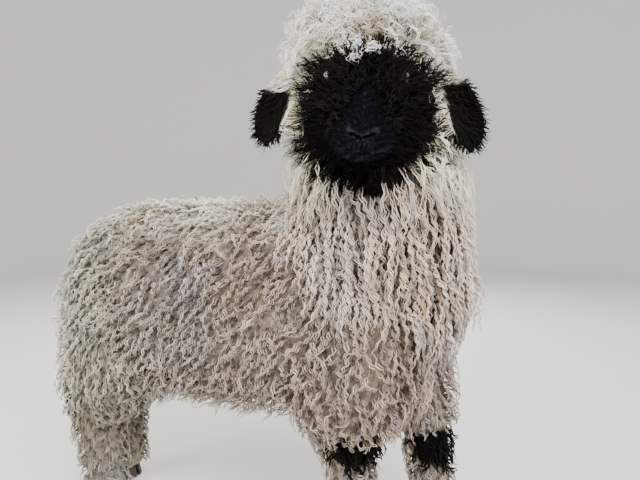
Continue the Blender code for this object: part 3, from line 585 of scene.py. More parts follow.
def joined(obj, others):
    """The union of obj with other closed meshes, which are then removed."""
    tools = bpy.data.collections.new("tools")
    bpy.context.scene.collection.children.link(tools)
    for other in others:
        bpy.context.scene.collection.objects.unlink(other)
        tools.objects.link(other)
    union = obj.modifiers.new("union", "BOOLEAN")
    union.operation = "UNION"
    union.operand_type = "COLLECTION"
    union.collection = tools
    union.solver = "MANIFOLD"
    applied(obj)
    for other in others:
        bpy.data.objects.remove(other)
    bpy.data.collections.remove(tools)
    return obj


def points_of(mesh):
    """Points and normals of a mesh, in the animal's frame."""
    return read_all(mesh.vertices, "co", 3) - SHIFT, read_all(mesh.vertex_normals, "vector", 3)


def paint(obj, colours):
    """Writes a colour for each point of a mesh."""
    layer = obj.data.color_attributes.new(name="wool", type="FLOAT_COLOR", domain="POINT")
    rgba = np.ones((len(colours), 4), np.float32)
    rgba[:, :3] = colours
    layer.data.foreach_set("color", rgba.ravel())


# Markings

SINES = 6  # that a wandering value is the sum of


def wander(places, scale, seed):
    """A smooth random vector at each place: sines of the place in random directions, a scale long."""
    random = np.random.default_rng(seed)
    waves = unit(random.normal(size=(SINES, 3))) * (2 * math.pi / scale)
    waves = waves * random.uniform(0.6, 1.5, (SINES, 1))
    phase = places @ waves.T + random.uniform(0, 2 * math.pi, SINES)
    return np.sin(phase) @ random.normal(size=(SINES, 3)) / 2.4


def from_axis(local):
    """Distance from the line that runs along the head through the middle of the cheeks."""
    return np.hypot(local[:, 1], local[:, 2] - CHEEK_PLACE[2])


def bare_share(local):
    """1 on the short-haired bridge, nose and lips, from forward, left and up."""
    edge = np.interp(local[:, 0], *np.array(BARE).T, left=0.0)
    top = np.maximum(ease(-0.012, 0.006, local[:, 2]), ease(0.198, 0.208, local[:, 0]))
    near = ease(MUZZLE_REACH, MUZZLE_REACH - 0.010, from_axis(local))
    return ease(0.003, -0.003, np.abs(local[:, 1]) - edge) * top * near


def to_ear(points):
    """Distance from the middle lines of the two ears."""
    middles = np.concatenate([ear_line(side, 14)[0] for side in (1, -1)])
    return np.min([np.linalg.norm(points - middle, axis=1) for middle in middles], axis=0)


def knee_share(places, rough):
    """1 in the black in front of the knees and behind the hocks, and 0 elsewhere."""
    share = np.zeros(len(places))
    for outline, joint, half, ahead in KNEES:
        rows = np.array(sorted((row[2], row[0], row[1]) for row in outline))
        x, y = (places[:, k] - np.interp(places[:, 2], rows[:, 0], rows[:, k + 1]) for k in (0, 1))
        outwards = 0.60 * x if ahead < 0 else 0.9 * x * np.sign(rows[0, 1])
        turned = (0.9 * y * ahead - outwards) / 0.05
        high = np.abs(places[:, 2] - joint + 0.006 * rough[:, 2]) / (half + 0.008 * np.clip(turned, -1, 1))
        patch = (np.hypot(x, y) < KNEE_REACH) * ease(1.04, 0.96, high) * ease(0.0, 0.2, turned)
        share = np.maximum(share, patch)
    return share


def black_share(places):
    """1 in the black of the face, the ears, the knees and hocks, and 0 elsewhere, with ragged edges."""
    rough = wander(places, 0.035, 5)
    local = to_head(places)
    off = local - BLACK_PLACE
    side, above, below = BLACK_REACH
    off[:, 0] *= np.where(off[:, 0] > 0, 0.3, 1.0)
    off[:, 2] *= np.where(off[:, 2] > 0, side / above, side / below)
    face = ease(side + 0.002, side - 0.002, np.linalg.norm(off, axis=1) + 0.006 * rough[:, 0])
    muzzle = (local[:, 0] > 0.15) & (local[:, 0] < 0.30) & (from_axis(local) < MUZZLE_REACH)
    start, top, slant = EAR_BLACK
    edge = start + slant * np.maximum(top - places[:, 2], 0)
    ears = ease(-0.004, 0.004, np.abs(local[:, 1]) - edge + 0.004 * rough[:, 1])
    ears *= ease(0.004, -0.004, places[:, 2] - top + 0.004 * rough[:, 2])
    ears *= ease(0.050, 0.042, to_ear(places))
    return np.max([face, muzzle, ears, knee_share(places, rough)], axis=0)


def add_muzzle(colour, places, tint):
    """The colour with the muzzle's dark, grained hair in it, its frost of whiskers and a painted highlight
    along the upper rims of its nostrils.
    """
    local = to_head(places)
    bare = bare_share(local)
    grain = np.exp(1.1 * wander(places, 0.009, 33)[:, 0] + 0.8 * wander(places, 0.005, 34)[:, 1])
    lips = ease(-0.014, -0.024, local[:, 2]) * (local[:, 0] > 0.19)
    colour = mix(colour, np.asarray(tint.muzzle) * (grain * (0.8 + 1.3 * lips))[:, None], bare[:, None])
    nose = bare * (local[:, 0] > NOSE_START)
    frost = bump(np.abs(local[:, 1]), 0.006, 0.010) * bump(local[:, 2], -0.011, 0.006)
    frost = 0.55 * frost * ease(-0.3, 0.5, wander(places, 0.006, 31)[:, 0])
    colour = mix(colour, tint.rim, (frost * nose)[:, None])
    # Painted highlight: a pale line just above each nostril's slit.
    above = ease(-0.001, 0.001, local[:, 2] - nostril_height(np.abs(local[:, 1])))
    rim = bump(to_nostril(local), 0.0034, 0.0012) * above
    return mix(colour, tint.rim, (rim * nose)[:, None])


def markings(places, seen, black=None):
    """Colour of the wool from its place, in linear light: zones that run into each other.

    The brown spot goes by where a lock is seen, which is farther on than its root. black is the share of
    black where all of a piece has the same.
    """
    tint = bpy.context.scene.sheep_colours
    soft = wander(places, 0.16, 7)
    fine = wander(places, 0.05, 9)
    x, y, z = np.abs(places[:, 0]), places[:, 1], places[:, 2]

    def zone(centre, radii):
        gap = (np.stack((x, y, z), axis=1) - centre) / radii + 0.22 * soft
        return np.exp(-(gap**2).sum(axis=1))[:, None]

    colour = np.tile(np.asarray(tint.fleece), (len(places), 1))
    colour = mix(colour, tint.russet, 0.75 * zone((0.19, -0.11, 0.64), (0.16, 0.13, 0.17)))
    colour = mix(colour, tint.grey, 0.70 * zone((0.20, 0.07, 0.56), (0.16, 0.17, 0.14)))
    # Paler along the back: partly the wool's own golden tone, and partly painted light from above on the top
    # of the body.
    colour = mix(colour, tint.back, ease(0.66, 0.76, z + 0.02 * soft[:, 2])[:, None])
    pale_rear = ease(0.16, 0.34, y + 0.03 * soft[:, 0] + 0.25 * np.maximum(0.52 - z, 0))[:, None]
    colour = mix(colour, tint.rump, pale_rear)
    low = ease(0.42, 0.34, z + 0.02 * soft[:, 1])[:, None]
    colour = mix(colour, tint.legs, low)
    before = ((places - NECK_PLANE[0]) @ NECK_PLANE[1])[:, None]
    ruff = ease(-0.035, 0.045, before + 0.02 * soft[:, :1])
    ruff = np.maximum(ruff, ease(-0.12, -0.20, y)[:, None] * ease(0.50, 0.42, z)[:, None])
    breast = ease(0.66, 0.46, z + 0.04 * soft[:, 2])[:, None]
    colour = mix(colour, mix(np.asarray(tint.ruff), tint.breast, breast), ruff * (1 - 0.6 * low))
    colour = mix(colour, tint.crown, 0.75 * ruff * ease(0.76, 0.90, z + 0.02 * soft[:, 2])[:, None])
    crown = unit(places - CROWN_CENTRE)
    away = np.linalg.norm((places - CROWN_CENTRE) / CROWN_RADII.max(), axis=1)[:, None]
    top = ease(1.25, 0.95, away) * ease(-0.55, 0.0, crown[:, 2:])
    colour = mix(colour, mix(np.asarray(tint.crown), tint.back, 0.5 * ease(0.1, 0.7, fine[:, 2:])), top)
    spot = np.exp(-(((seen - SPOT_PLACE) / SPOT_RADIUS) ** 2).sum(axis=1))[:, None]
    colour = mix(colour, tint.spot, 0.9 * spot)
    colour = colour * (1 + 0.10 * soft[:, 1:2] + 0.08 * fine[:, :1])
    colour = colour * (1 + (0.6 * soft[:, :1] + fine[:, 1:2] + 0.2) * np.array((0.03, -0.01, -0.08)))
    black = black_share(places)[:, None] if black is None else black
    return add_muzzle(mix(colour, tint.black, black), places, tint)


# Roots and lie of the wool

EVEN_SIZE = 0.010  # of the skin's faces, once they are evened out
BATCH = 2048  # places looked up at once
HIDDEN = 0.007  # depth under the skin below which a root is left out
GOLDEN = 0.618034
PATCH = 0.003  # size of a strand's patch on the unwrap
MARGIN = 0.01  # round the unwrap
# Painted shade and highlight: a strand's two sides are darkened and its ridge lightened, and its root is
# painted darker and warmer as shade.
RIDGE_SHADE = np.array((0.88, 0.88, 1.06))[:, None]  # of a strand's two sides and of its ridge
ROOT_SHADE_TINT = np.array((0.0, 0.08, 0.13))  # taken from red, green and blue at a root


@lru_cache(maxsize=None)
def body_skin():
    """The body without its bare head: the cores joined, then evened out and smoothed."""
    grids = cores()
    parts = [from_grids(name, [grid]) for name, grid in grids.items() if name != "head"]
    body = joined(parts[0], parts[1:])
    remesh = body.modifiers.new("even", "REMESH")
    remesh.mode = "VOXEL"
    remesh.voxel_size = EVEN_SIZE
    smooth = body.modifiers.new("soft", "SMOOTH")
    smooth.factor = 0.5
    smooth.iterations = 5
    applied(body)
    body.data.shade_smooth()
    body.name = "body_skin"
    return body


@lru_cache(maxsize=None)
def guide():
    """Points, normals and half squared lengths of the skin's points, from which heights over it are read."""
    points, normals = points_of(body_skin().data)
    head = cores()["head"]
    points = np.concatenate((points, head[::4, ::4].reshape(-1, 3))).astype(np.float32)
    normals = np.concatenate((normals, normals_of(head)[::4, ::4].reshape(-1, 3))).astype(np.float32)
    return points, normals, (points**2).sum(axis=1) / 2


def over_skin(places):
    """Height over the skin and the skin's normal, from the plane through the nearest of its points."""
    points, normals, half = guide()
    nearest = np.empty(len(places), int)
    for start in range(0, len(places), BATCH):
        part = places[start : start + BATCH].astype(np.float32)
        nearest[start : start + BATCH] = np.argmax(part @ points.T - half, axis=1)
    return dot(places - points[nearest], normals[nearest])[:, 0], normals[nearest].astype(float)


def picked(grid, spacing, random, wanted=None):
    """Rings and columns of a grid's cells, picked at even steps of the running sum of their areas.

    An area counts as many times as the wool is wanted there.
    """
    around = np.roll(grid, -1, axis=1)
    area = np.linalg.norm(np.cross(around[1:] - grid[:-1], grid[1:] - around[:-1]), axis=-1) / 2
    if wanted is not None:
        middle = (grid[:-1] + around[1:]) / 2
        area = area * wanted(middle.reshape(-1, 3)).reshape(area.shape)
    total = np.cumsum(area.ravel())
    count = int(total[-1] / spacing**2)
    cell = np.searchsorted(total, (np.arange(count) + random.random(count)) / count * total[-1])
    return np.divmod(np.minimum(cell, area.size - 1), grid.shape[1])


def sown(grid, spacing, random, wanted=None):
    """Roots over a grid, evenly by area: points, normals and places on the grid's own unwrap.

    A random place in each picked cell: (1-p)(1-q) A + p(1-q) B + (1-p) q C + p q D.
    """
    r, k = picked(grid, spacing, random, wanted)
    p, q = (np.arange(len(r)) * GOLDEN + 0.12 * random.random(len(r))) % 1, random.random(len(r))
    normal, next_k = normals_of(grid), (k + 1) % grid.shape[1]

    def read(values):
        low = values[r, k] * (1 - q[:, None]) + values[r, next_k] * q[:, None]
        high = values[r + 1, k] * (1 - q[:, None]) + values[r + 1, next_k] * q[:, None]
        return low * (1 - p[:, None]) + high * p[:, None]

    places = np.stack(((k + q) / grid.shape[1], (r + p) / (grid.shape[0] - 1)), axis=1)
    points, away = read(grid), unit(read(normal))
    return chosen((points, away, places), over_skin(points)[0] > -HIDDEN)


def sown_bare(grid, spacing, random):
    """Roots at the points of a grid that stands clear of the body."""
    r, k = picked(grid, spacing, random)
    places = np.stack((k / grid.shape[1], r / (grid.shape[0] - 1)), axis=1)
    return grid[r, k], normals_of(grid)[r, k], places


def chosen(arrays, part):
    """The same rows of each of several arrays."""
    return tuple(values[part] for values in arrays)


def sown_over(names, spacing, random, wanted):
    """Roots over several surfaces of the skin, each on a band of its own of the unwrap."""
    made = []
    for k, name in enumerate(names):
        points, away, places = sown(cores()[name], spacing, random, wanted)
        made.append((points, away, np.stack((places[:, 0], (places[:, 1] + k) / len(names)), axis=1)))
    return [np.concatenate(values) for values in zip(*made)]


# One kind of wool: half width of a strand, strands in a lock and the lock's radius, the length and size of
# its waves, rings along a strand, how far it stands out and hangs free, how it clings to the form below it,
# how it strays, how bright painted shade leaves its root and its deepest locks, how much its strands
# differ, and its heights over the skin as shares of the coat.
Wool = namedtuple(
    "Wool", "half strands radius period wave rings stand hang cling stray root deep vary heights"
)
FLATNESS = 0.60  # thickness of a strand as a share of its width

# How far locks and strands differ, as shares: from the least to the most.
HEIGHT_SPREAD = 0.10
TURN_RANGE = (0.75, 1.3)
WAVE_RANGE = (0.6, 1.4)
WIDTH_RANGE = (0.75, 1.25)
DEEP_GIRTH, OUTER_GIRTH = 1.30, 0.85
# Painted shade and light: the deepest locks keep their wool's deep share of their colour, and the outermost
# are brightened by this one.
OUTER_PAINTED_LIGHT = 1.10
TONE_SPREAD = 0.08
HUE_SPREAD = np.array((0.01, 0.0, -0.02))

# Lengths of some wool as shares of its neighbour's.
FRINGE_LENGTH = 1.8
NAPE_LENGTH = 0.74
EAR_ROOT_LENGTH = 3.0

# Heights along a lock over the skin, as shares of the coat.
LYING = (-0.10, 0.45, 0.80, 0.95, 1.00, 0.96)
LONG = (-0.10, 0.45, 0.75, 0.90, 0.97, 1.00, 0.97, 0.90)
SHORT = (-0.10, 0.50, 0.85, 1.00)
FLAT = (-0.20, 0.60, 1.00)
FLEECE = Wool(0.0018, 2, 0.0022, 0.0125, 0.0030, 12, 0.16, 0.10, 0.8, 0.38, 0.34, 0.42, 0.18, LYING)
FRINGE = Wool(0.0019, 2, 0.0030, 0.0170, 0.0040, 9, 0.10, 0.55, 0.2, 0.36, 0.36, 0.60, 0.10, LYING)
RUFF = Wool(0.0018, 2, 0.0012, 0.0180, 0.0034, 25, 0.06, 0.25, 0.5, 0.16, 0.14, 0.28, 0.14, LONG)
NAPE = Wool(0.0011, 3, 0.0042, 0.0260, 0.0044, 7, 0.20, 0.30, 0.3, 0.28, 0.55, 0.85, 0.10, LYING)
TOPKNOT = Wool(0.0010, 3, 0.0050, 0.0230, 0.0052, 7, 0.35, 0.80, 0.3, 0.65, 0.92, 1.00, 0.06, LYING)
EAR_ROOT = Wool(0.0012, 2, 0.0044, 0.0220, 0.0050, 6, 0.34, 0.50, 0.2, 0.80, 0.75, 0.90, 0.08, LYING)
BLACK_WOOL = Wool(0.0012, 2, 0.0028, 0.0200, 0.0038, 7, 0.40, 0.90, 0.0, 0.45, 0.42, 0.70, 0.60, SHORT)
EAR_WOOL = Wool(0.0011, 1, 0.0, 0.0300, 0.0014, 4, 0.45, 0.80, 0.0, 0.35, 0.42, 0.90, 0.50, SHORT)
MUZZLE_HAIR = Wool(0.0005, 1, 0.0, 0.0300, 0.0003, 3, 0.22, 0.10, 0.6, 0.18, 0.60, 1.00, 0.50, FLAT)
THIGH_WOOL = Wool(0.0018, 2, 0.0024, 0.0145, 0.0032, 10, 0.16, 0.10, 0.8, 0.40, 0.34, 0.46, 0.16, LYING)
LEG_WOOL = Wool(0.0019, 2, 0.0030, 0.0180, 0.0034, 5, 0.22, 0.20, 0.7, 0.42, 0.34, 0.50, 0.14, LYING)


def combed(roots, away, flow, wool, lengths, depth, random):
    """Middle lines of locks and the directions away from the skin along them.

    Each step goes on by a share of the length along the flow, turned by the lock's own stray, laid in the
    skin's plane as far as it neither stands nor hangs, and is then moved to its height over the skin.
    """
    steps = len(wool.heights) - 1
    heights = np.asarray(wool.heights)[None, :] * depth[:, None]
    heights[:, 1:] += HEIGHT_SPREAD * depth[:, None] * random.normal(size=heights[:, 1:].shape)
    own = random.normal(size=roots.shape) * wool.stray
    normal, place = away, roots + away * heights[:, :1]
    course = unit(flow(place, normal))
    lines, ways = [place], [normal]
    for k in range(steps):
        want = unit(flow(place, normal)) + own
        want = want - normal * (dot(want, normal) * (1 - wool.hang))
        want = unit(want) * (1 - wool.stand) + normal * wool.stand
        course = unit(0.45 * course + unit(want))
        place = place + course * (lengths / steps)[:, None]
        height, face = over_skin(place)
        lack = heights[:, k + 1] - height
        place = place + face * (lack * np.where(lack > 0, 1.0, wool.cling))[:, None]
        normal = unit(normal + face)
        lines.append(place)
        ways.append(normal)
    return np.stack(lines, axis=1), np.stack(ways, axis=1)


def read_along(values, count):
    """Values at even steps of a Catmull-Rom curve through the points of each line."""
    t = np.linspace(0, values.shape[1] - 1, count)
    k = np.minimum(t.astype(int), values.shape[1] - 2)
    first, last = 2 * values[:, :1] - values[:, 1:2], 2 * values[:, -1:] - values[:, -2:-1]
    padded = np.concatenate((first, values, last), axis=1)
    return spline((padded[:, k + n] for n in range(4)), (t - k)[None, :, None])


def spun(lines, ways, wool, lengths, girth, random):
    """Strands of each lock, as grids of three-cornered rings.

    A strand runs round the lock's middle line in a flattened helix, line + B r cos p + A 0.7 r sin p with
    p = 2 pi length s / period, its radius grows from the root and closes in at the tip, and each ring has
    two corners to the sides and one away from the skin, tapered along s.
    """
    s = np.linspace(0, 1, wool.rings)[None, :, None]
    middle, out = read_along(lines, wool.rings), unit(read_along(ways, wool.rings))
    along = unit(np.gradient(middle, axis=1))
    across = unit(np.cross(along, out))
    out = np.cross(across, along)
    made, lifts, each = [], [], (len(lines), 1, 1)
    turns = lengths[:, None, None] / wool.period * random.uniform(*TURN_RANGE, each)
    phase = random.uniform(0, 2 * math.pi, each)
    reach = ease(0.0, 0.30, s) * (1 - 0.45 * s**2) * random.uniform(*WAVE_RANGE, each)
    bend = random.normal(size=each) * 0.4 * wool.stray * lengths[:, None, None] * s**2
    for strand in range(wool.strands):
        own = 2 * math.pi * strand / wool.strands
        angle = phase + 0.4 * own + 2 * math.pi * turns * s
        radius = wool.wave * reach
        line = middle + across * (radius * np.cos(angle) + bend) + out * (0.7 * radius * np.sin(angle))
        fixed = wool.radius * (1 - 0.55 * s)
        line = line + across * (fixed * math.cos(own + 0.6)) + out * (0.5 * fixed * math.sin(own + 0.6))
        course = unit(np.gradient(line, axis=1))
        side = unit(np.cross(course, out))
        back = np.cross(side, course)
        half = wool.half * (0.65 + 0.35 * ease(0.0, 0.25, s)) * (1 - 0.88 * s**2.2)
        half = half * girth[:, None, None] * random.uniform(*WIDTH_RANGE, each)
        ridge = back * half * 2 * FLATNESS
        made.append(np.stack((line - side * half, line + side * half, line + ridge), axis=2))
        # How far the helix lies out from the skin, by which the strand's colour gets painted shade.
        lifts.append(np.sin(angle) * reach)
    return np.concatenate(made), np.concatenate(lifts)


def strand_object(name, strands, lifts, colours, places, root):
    """One mesh of all strands, closed at both ends, each with its root's colour under painted shade and
    highlight, and its patch of the unwrap.
    """
    count, rings = strands.shape[:2]
    a, b = ring_corners(rings, 3)
    halves = [np.stack(corner, -1).reshape(-1, 3) for corner in ((a, b + 3, b), (a, a + 3, b + 3))]
    last = 3 * rings - 1
    face = np.concatenate((*halves, [(0, 1, 2), (last, last - 1, last - 2)]))
    corners = (face[None] + (np.arange(count) * rings * 3)[:, None, None]).ravel()
    obj = mesh_object(name, strands.reshape(-1, 3), corners, np.full(len(corners) // 3, 3))
    s = np.linspace(0, 1, rings)[None, :, None, None]
    # Painted shade: darker and warmer at the root, a little lighter towards the tip, darker on the sides than
    # on the ridge, and darker where the helix turns towards the skin.
    shade = (root + (1 - root) * ease(0.0, 0.50, s)) * (1 + 0.12 * s) * RIDGE_SHADE
    shade_tint = 1 - (1 - ease(0.0, 0.6, s)) * ROOT_SHADE_TINT
    curl_shade = 1 + 0.26 * lifts[:, :, None, :]
    paint(obj, np.clip(colours[:, None, None, :] * shade * shade_tint * curl_shade, 0, 1).reshape(-1, 3))
    low, high = places.min(axis=0), places.max(axis=0)
    places = MARGIN + (1 - 2 * MARGIN) * (places - low) / (high - low)
    patch = PATCH * grid_of((np.arange(3) - 1)[None, :] / 2, s[0, :, :, 0] - 0.5)
    uv = np.clip(places[:, None, None, :] + patch[None], 0.0, 1.0).reshape(-1, 2)
    layer = obj.data.uv_layers.new(name="OFBake")
    layer.data.foreach_set("uv", uv[corners].astype(np.float32).ravel())
    return obj


def girth_share(depth):
    """0 for the deepest locks of a coat to 1 for its outermost, and 0.8 where all lie alike."""
    low, high = depth.min(), depth.max()
    return (depth - low) / (high - low) if high > low else np.full(len(depth), 0.8)


def misplaced(seen):
    """True where a pale lock would be seen in the black of the face or an ear, below the brow."""
    return (black_share(seen) > 0.5) & (seen[:, 2] > HEAD_HEIGHT) & (to_head(seen)[:, 2] < BROW_HEIGHT)


def grown(name, seeds, flow, wool, lengths, depth, random, slot, pieces=1, black=False, finish=None):
    """Combs, spins and colours the wool of a region, in pieces by the order of the roots on the unwrap.

    Pale locks that would be seen in the black are left out.
    """
    points, away, places = seeds
    lines, ways = combed(points, away, flow, wool, lengths, depth, random)
    if not black:
        fit = ~misplaced(lines[:, -2])
        lines, ways, lengths, depth = chosen((lines, ways, lengths, depth), fit)
        points, places = chosen((points, places), fit)
    outer = girth_share(depth)
    strands, lifts = spun(lines, ways, wool, lengths, mix(DEEP_GIRTH, OUTER_GIRTH, outer), random)
    colours = markings(points, lines[:, -2], float(black))
    each = (len(points), 1)
    # Painted shade: deeper locks are darker and the outermost lighter, and each lock's tone also differs at
    # random.
    tone = mix(wool.deep, OUTER_PAINTED_LIGHT, outer[:, None]) + TONE_SPREAD * random.normal(size=each)
    tone = tone * (1 + random.normal(size=each) * HUE_SPREAD)
    colours = np.tile(colours * tone, (wool.strands, 1))
    colours = np.clip(colours * np.exp(random.normal(size=(len(colours), 1)) * wool.vary), 0, 1)
    places = np.tile(places, (wool.strands, 1))
    order = np.argsort(places[:, 0], kind="stable")
    for k, part in enumerate(np.array_split(order, pieces)):
        label = name if pieces == 1 else f"{name}_{k + 1}"
        obj = strand_object(label, *chosen((strands, lifts, colours, places), part), wool.root)
        obj.data.materials.append(finish or (black_wool_material() if black else wool_material()))
        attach(obj, "root")


def trunk_flow(place, normal):
    """Down and back along the sides, parting along the spine, with slow swirls."""
    part = np.sign(place[:, :1] + 1e-6) * np.maximum(normal[:, 2:], 0)
    rest = np.broadcast_to((0.55, -1.0), (len(place), 2))
    return unit(np.concatenate((part, rest), axis=1)) + 0.30 * wander(place, 0.14, 21)


def hanging_flow(place, normal):
    """Straight down, spreading a little, with slow swirls."""
    down = np.stack((0.2 * normal[:, 0], 0.2 * normal[:, 1], -np.ones(len(place))), axis=1)
    return down + 0.14 * wander(place, 0.12, 22)


def off_face(place):
    """A push outwards from the middle of the black wool, which fades away from it and behind it."""
    local = to_head(place)
    off = local[:, 1:] - np.array(BLACK_PLACE[1:])
    near = ease(0.150, 0.095, np.linalg.norm(off, axis=1)) * ease(-0.03, 0.03, local[:, 0])
    return near[:, None] * (unit(off) @ np.array((HEAD_LEFT, UP)))


def crown_flow(place, normal):
    """Away from the middle of the topknot and off the face, with small curls."""
    away = 0.8 * unit(place - CROWN_CENTRE) + 0.8 * off_face(place)
    return away - 0.35 * UP + 0.7 * wander(place, 0.05, 23)


def nape_flow(place, normal):
    """Straight down, but off the face."""
    return hanging_flow(place, normal) + 0.25 * wander(place, 0.05, 28) + off_face(place)


def side_flow(place, normal):
    """Hanging from the crown's side over the root of an ear: down, and a little out and forward."""
    hang = 0.35 * unit(place - CROWN_CENTRE) + 0.25 * LEVEL - UP
    return hang + 0.90 * wander(place, 0.04, 27) + 1.2 * off_face(place)


def from_eyes(places):
    """Distance from the middle of the nearer eye."""
    return np.min([np.linalg.norm(places - eye_axes(side)[0], axis=1) for side in (1, -1)], axis=0)


def face_flow(place, normal):
    """Out from the head's middle line on every side, back beside the bridge and over the eyes, with small
    curls.
    """
    local = to_head(place)
    middle = on_head(grid_of(local[:, 0], 0.0, CHEEK_PLACE[2]))
    back = 0.05 + 0.30 * ease(0.09, 0.15, local[:, :1])
    back = back + 0.8 * bump(from_eyes(place - 0.016 * HEAD_FORWARD), 0.0, 0.034)[:, None]
    return unit(place - middle) - back * HEAD_FORWARD - 0.10 * UP + 0.45 * wander(place, 0.04, 24)


def muzzle_flow(place, normal):
    """Back from the nose, and outwards from the middle line."""
    local = to_head(place)
    return 0.35 * np.sign(local[:, 1:2]) * HEAD_LEFT - HEAD_FORWARD + 0.2 * wander(place, 0.03, 26)


# Materials


def group(name, inputs, outputs):
    """A node group with named inputs and outputs, and its end nodes, or None where it is built already."""
    if name in bpy.data.node_groups:
        return bpy.data.node_groups[name], None, None
    made = bpy.data.node_groups.new(name, "ShaderNodeTree")
    for label, kind, value in inputs:
        socket = made.interface.new_socket(label, in_out="INPUT", socket_type=kind)
        if value is not None:
            socket.default_value = value
    for label, kind in outputs:
        made.interface.new_socket(label, in_out="OUTPUT", socket_type=kind)
    return made, made.nodes.new("NodeGroupInput"), made.nodes.new("NodeGroupOutput")


def node(tree, kind, inputs=None, **settings):
    """A new node, with the values of some of its inputs and some of its settings."""
    made = tree.nodes.new(kind)
    for key, value in settings.items():
        setattr(made, key, value)
    for socket, value in (inputs or {}).items():
        made.inputs[socket].default_value = value
    return made


def wire(tree, *links):
    """Links outputs to inputs: each link is a node, its output, the next node and its input."""
    for start, output, end, entry in links:
        tree.links.new(start.outputs[output], end.inputs[entry])


def fibre_tone():
    """Colour varied by two sizes of noise, and a fine height for the bump, in object space."""
    made, given, out = group(
        "Fibre Tone",
        (
            ("Color", "NodeSocketColor", (0.5, 0.5, 0.5, 1.0)),
            ("Coarse Scale", "NodeSocketFloat", 60.0),
            ("Fine Scale", "NodeSocketFloat", 900.0),
            ("Amount", "NodeSocketFloat", 0.3),
        ),
        (("Color", "NodeSocketColor"), ("Height", "NodeSocketFloat")),
    )
    if given is None:
        return made
    place = node(made, "ShaderNodeTexCoord")
    coarse = node(made, "ShaderNodeTexNoise", {"Detail": 3.0})
    fine = node(made, "ShaderNodeTexNoise", {"Detail": 2.0})
    both = node(made, "ShaderNodeMath", operation="ADD")
    spread = node(made, "ShaderNodeMath", {1: 1.0}, operation="SUBTRACT")
    amount = node(made, "ShaderNodeMath", {2: 1.0}, operation="MULTIPLY_ADD")
    tone = node(made, "ShaderNodeVectorMath", operation="SCALE")
    wire(
        made,
        (place, "Object", coarse, "Vector"),
        (place, "Object", fine, "Vector"),
        (given, "Coarse Scale", coarse, "Scale"),
        (given, "Fine Scale", fine, "Scale"),
        (coarse, "Fac", both, 0),
        (fine, "Fac", both, 1),
        (both, 0, spread, 0),
        (spread, 0, amount, 0),
        (given, "Amount", amount, 1),
        (given, "Color", tone, 0),
        (amount, 0, tone, "Scale"),
        (tone, 0, out, "Color"),
        (fine, "Fac", out, "Height"),
    )
    return made


def new_material(name):
    """A material with its Principled BSDF, or None in its place where the material is built already."""
    if name in bpy.data.materials:
        return bpy.data.materials[name], None
    made = bpy.data.materials.new(name)
    made.use_nodes = True
    return made, made.node_tree.nodes["Principled BSDF"]


def fibre_material(name, surface, coarse, fine, amount, distance, strength=0.6):
    """A material in the colours of its mesh, whose fibre tone also gives its bump.

    surface holds values of the shader's sockets. The two scales and the amount go to the tone, and the
    distance and strength to the bump.
    """
    made, shader = new_material(name)
    if shader:
        tree = made.node_tree
        for socket, value in surface.items():
            shader.inputs[socket].default_value = value
        scales = {"Coarse Scale": coarse, "Fine Scale": fine, "Amount": amount}
        colour = node(tree, "ShaderNodeAttribute", attribute_name="wool")
        tone = node(tree, "ShaderNodeGroup", scales, node_tree=fibre_tone())
        relief = node(tree, "ShaderNodeBump", {"Distance": distance, "Strength": strength})
        wire(
            tree,
            (colour, "Color", tone, "Color"),
            (tone, "Color", shader, "Base Color"),
            (tone, "Height", relief, "Height"),
            (relief, "Normal", shader, "Normal"),
        )
    return made


def wool_material():
    """Matt, slightly greasy wool in the colour of its root."""
    surface = {"Roughness": 0.82, "Sheen Weight": 0.25, "Sheen Roughness": 0.45, "Specular IOR Level": 0.25}
    return fibre_material("curled_wool", surface, 45.0, 1100.0, 0.35, 0.0004)


def black_wool_material():
    """Black wool: deeper and duller than the pale."""
    surface = {"Roughness": 0.75, "Specular IOR Level": 0.10}
    return fibre_material("black_fibres", surface, 45.0, 1100.0, 0.35, 0.0004)


def undercoat_material():
    """The dense short wool between the roots of the locks."""
    surface = {"Roughness": 0.95, "Specular IOR Level": 0.1}
    return fibre_material("undercoat", surface, 60.0, 420.0, 0.8, 0.003, 1.0)


def short_hair_material():
    """The short, close, faintly blue-black hair of the muzzle."""
    surface = {"Roughness": 0.6, "Specular IOR Level": 0.05, "Specular Tint": (0.78, 0.86, 1.0, 1.0)}
    return fibre_material("short_black_hair", surface, 150.0, 950.0, 1.5, 0.0016, 1.0)


def noise_ramp(tree, stretch, detail, stops):
    """A noise in object space, scaled along each axis, and the ramp of colours that it goes through."""
    place = node(tree, "ShaderNodeTexCoord")
    scaled = node(tree, "ShaderNodeMapping", {"Scale": stretch})
    noise = node(tree, "ShaderNodeTexNoise", {"Scale": 1.0, "Detail": detail})
    ramp = node(tree, "ShaderNodeValToRGB")
    for element, (position, colour) in zip(ramp.color_ramp.elements, stops):
        element.position = position
        element.color = (*colour, 1.0)
    wire(tree, (place, "Object", scaled, "Vector"), (scaled, 0, noise, "Vector"), (noise, "Fac", ramp, 0))
    return noise, ramp


def horn_material():
    """Dark hoof horn with fine growth rings that run level round the claw."""
    made, shader = new_material("hoof_horn")
    if shader:
        tree = made.node_tree
        shader.inputs["Roughness"].default_value = 0.5
        stops = ((0.32, (0.022, 0.017, 0.014)), (0.72, (0.11, 0.085, 0.062)))
        rings, ramp = noise_ramp(tree, (14.0, 14.0, 260.0), 4.0, stops)
        relief = node(tree, "ShaderNodeBump", {"Distance": 0.0012, "Strength": 0.7})
        wire(
            tree,
            (ramp, "Color", shader, "Base Color"),
            (rings, "Fac", relief, "Height"),
            (relief, "Normal", shader, "Normal"),
        )
    return made


def eye_material():
    """Amber iris with darker streaks under a wet, clear coat; its colour comes with the eye's points."""
    surface = {"Roughness": 0.12, "Coat Weight": 1.0, "Coat Roughness": 0.02}
    return fibre_material("wet_eye", surface, 500.0, 1500.0, 0.25, 0.00005, 0.2)


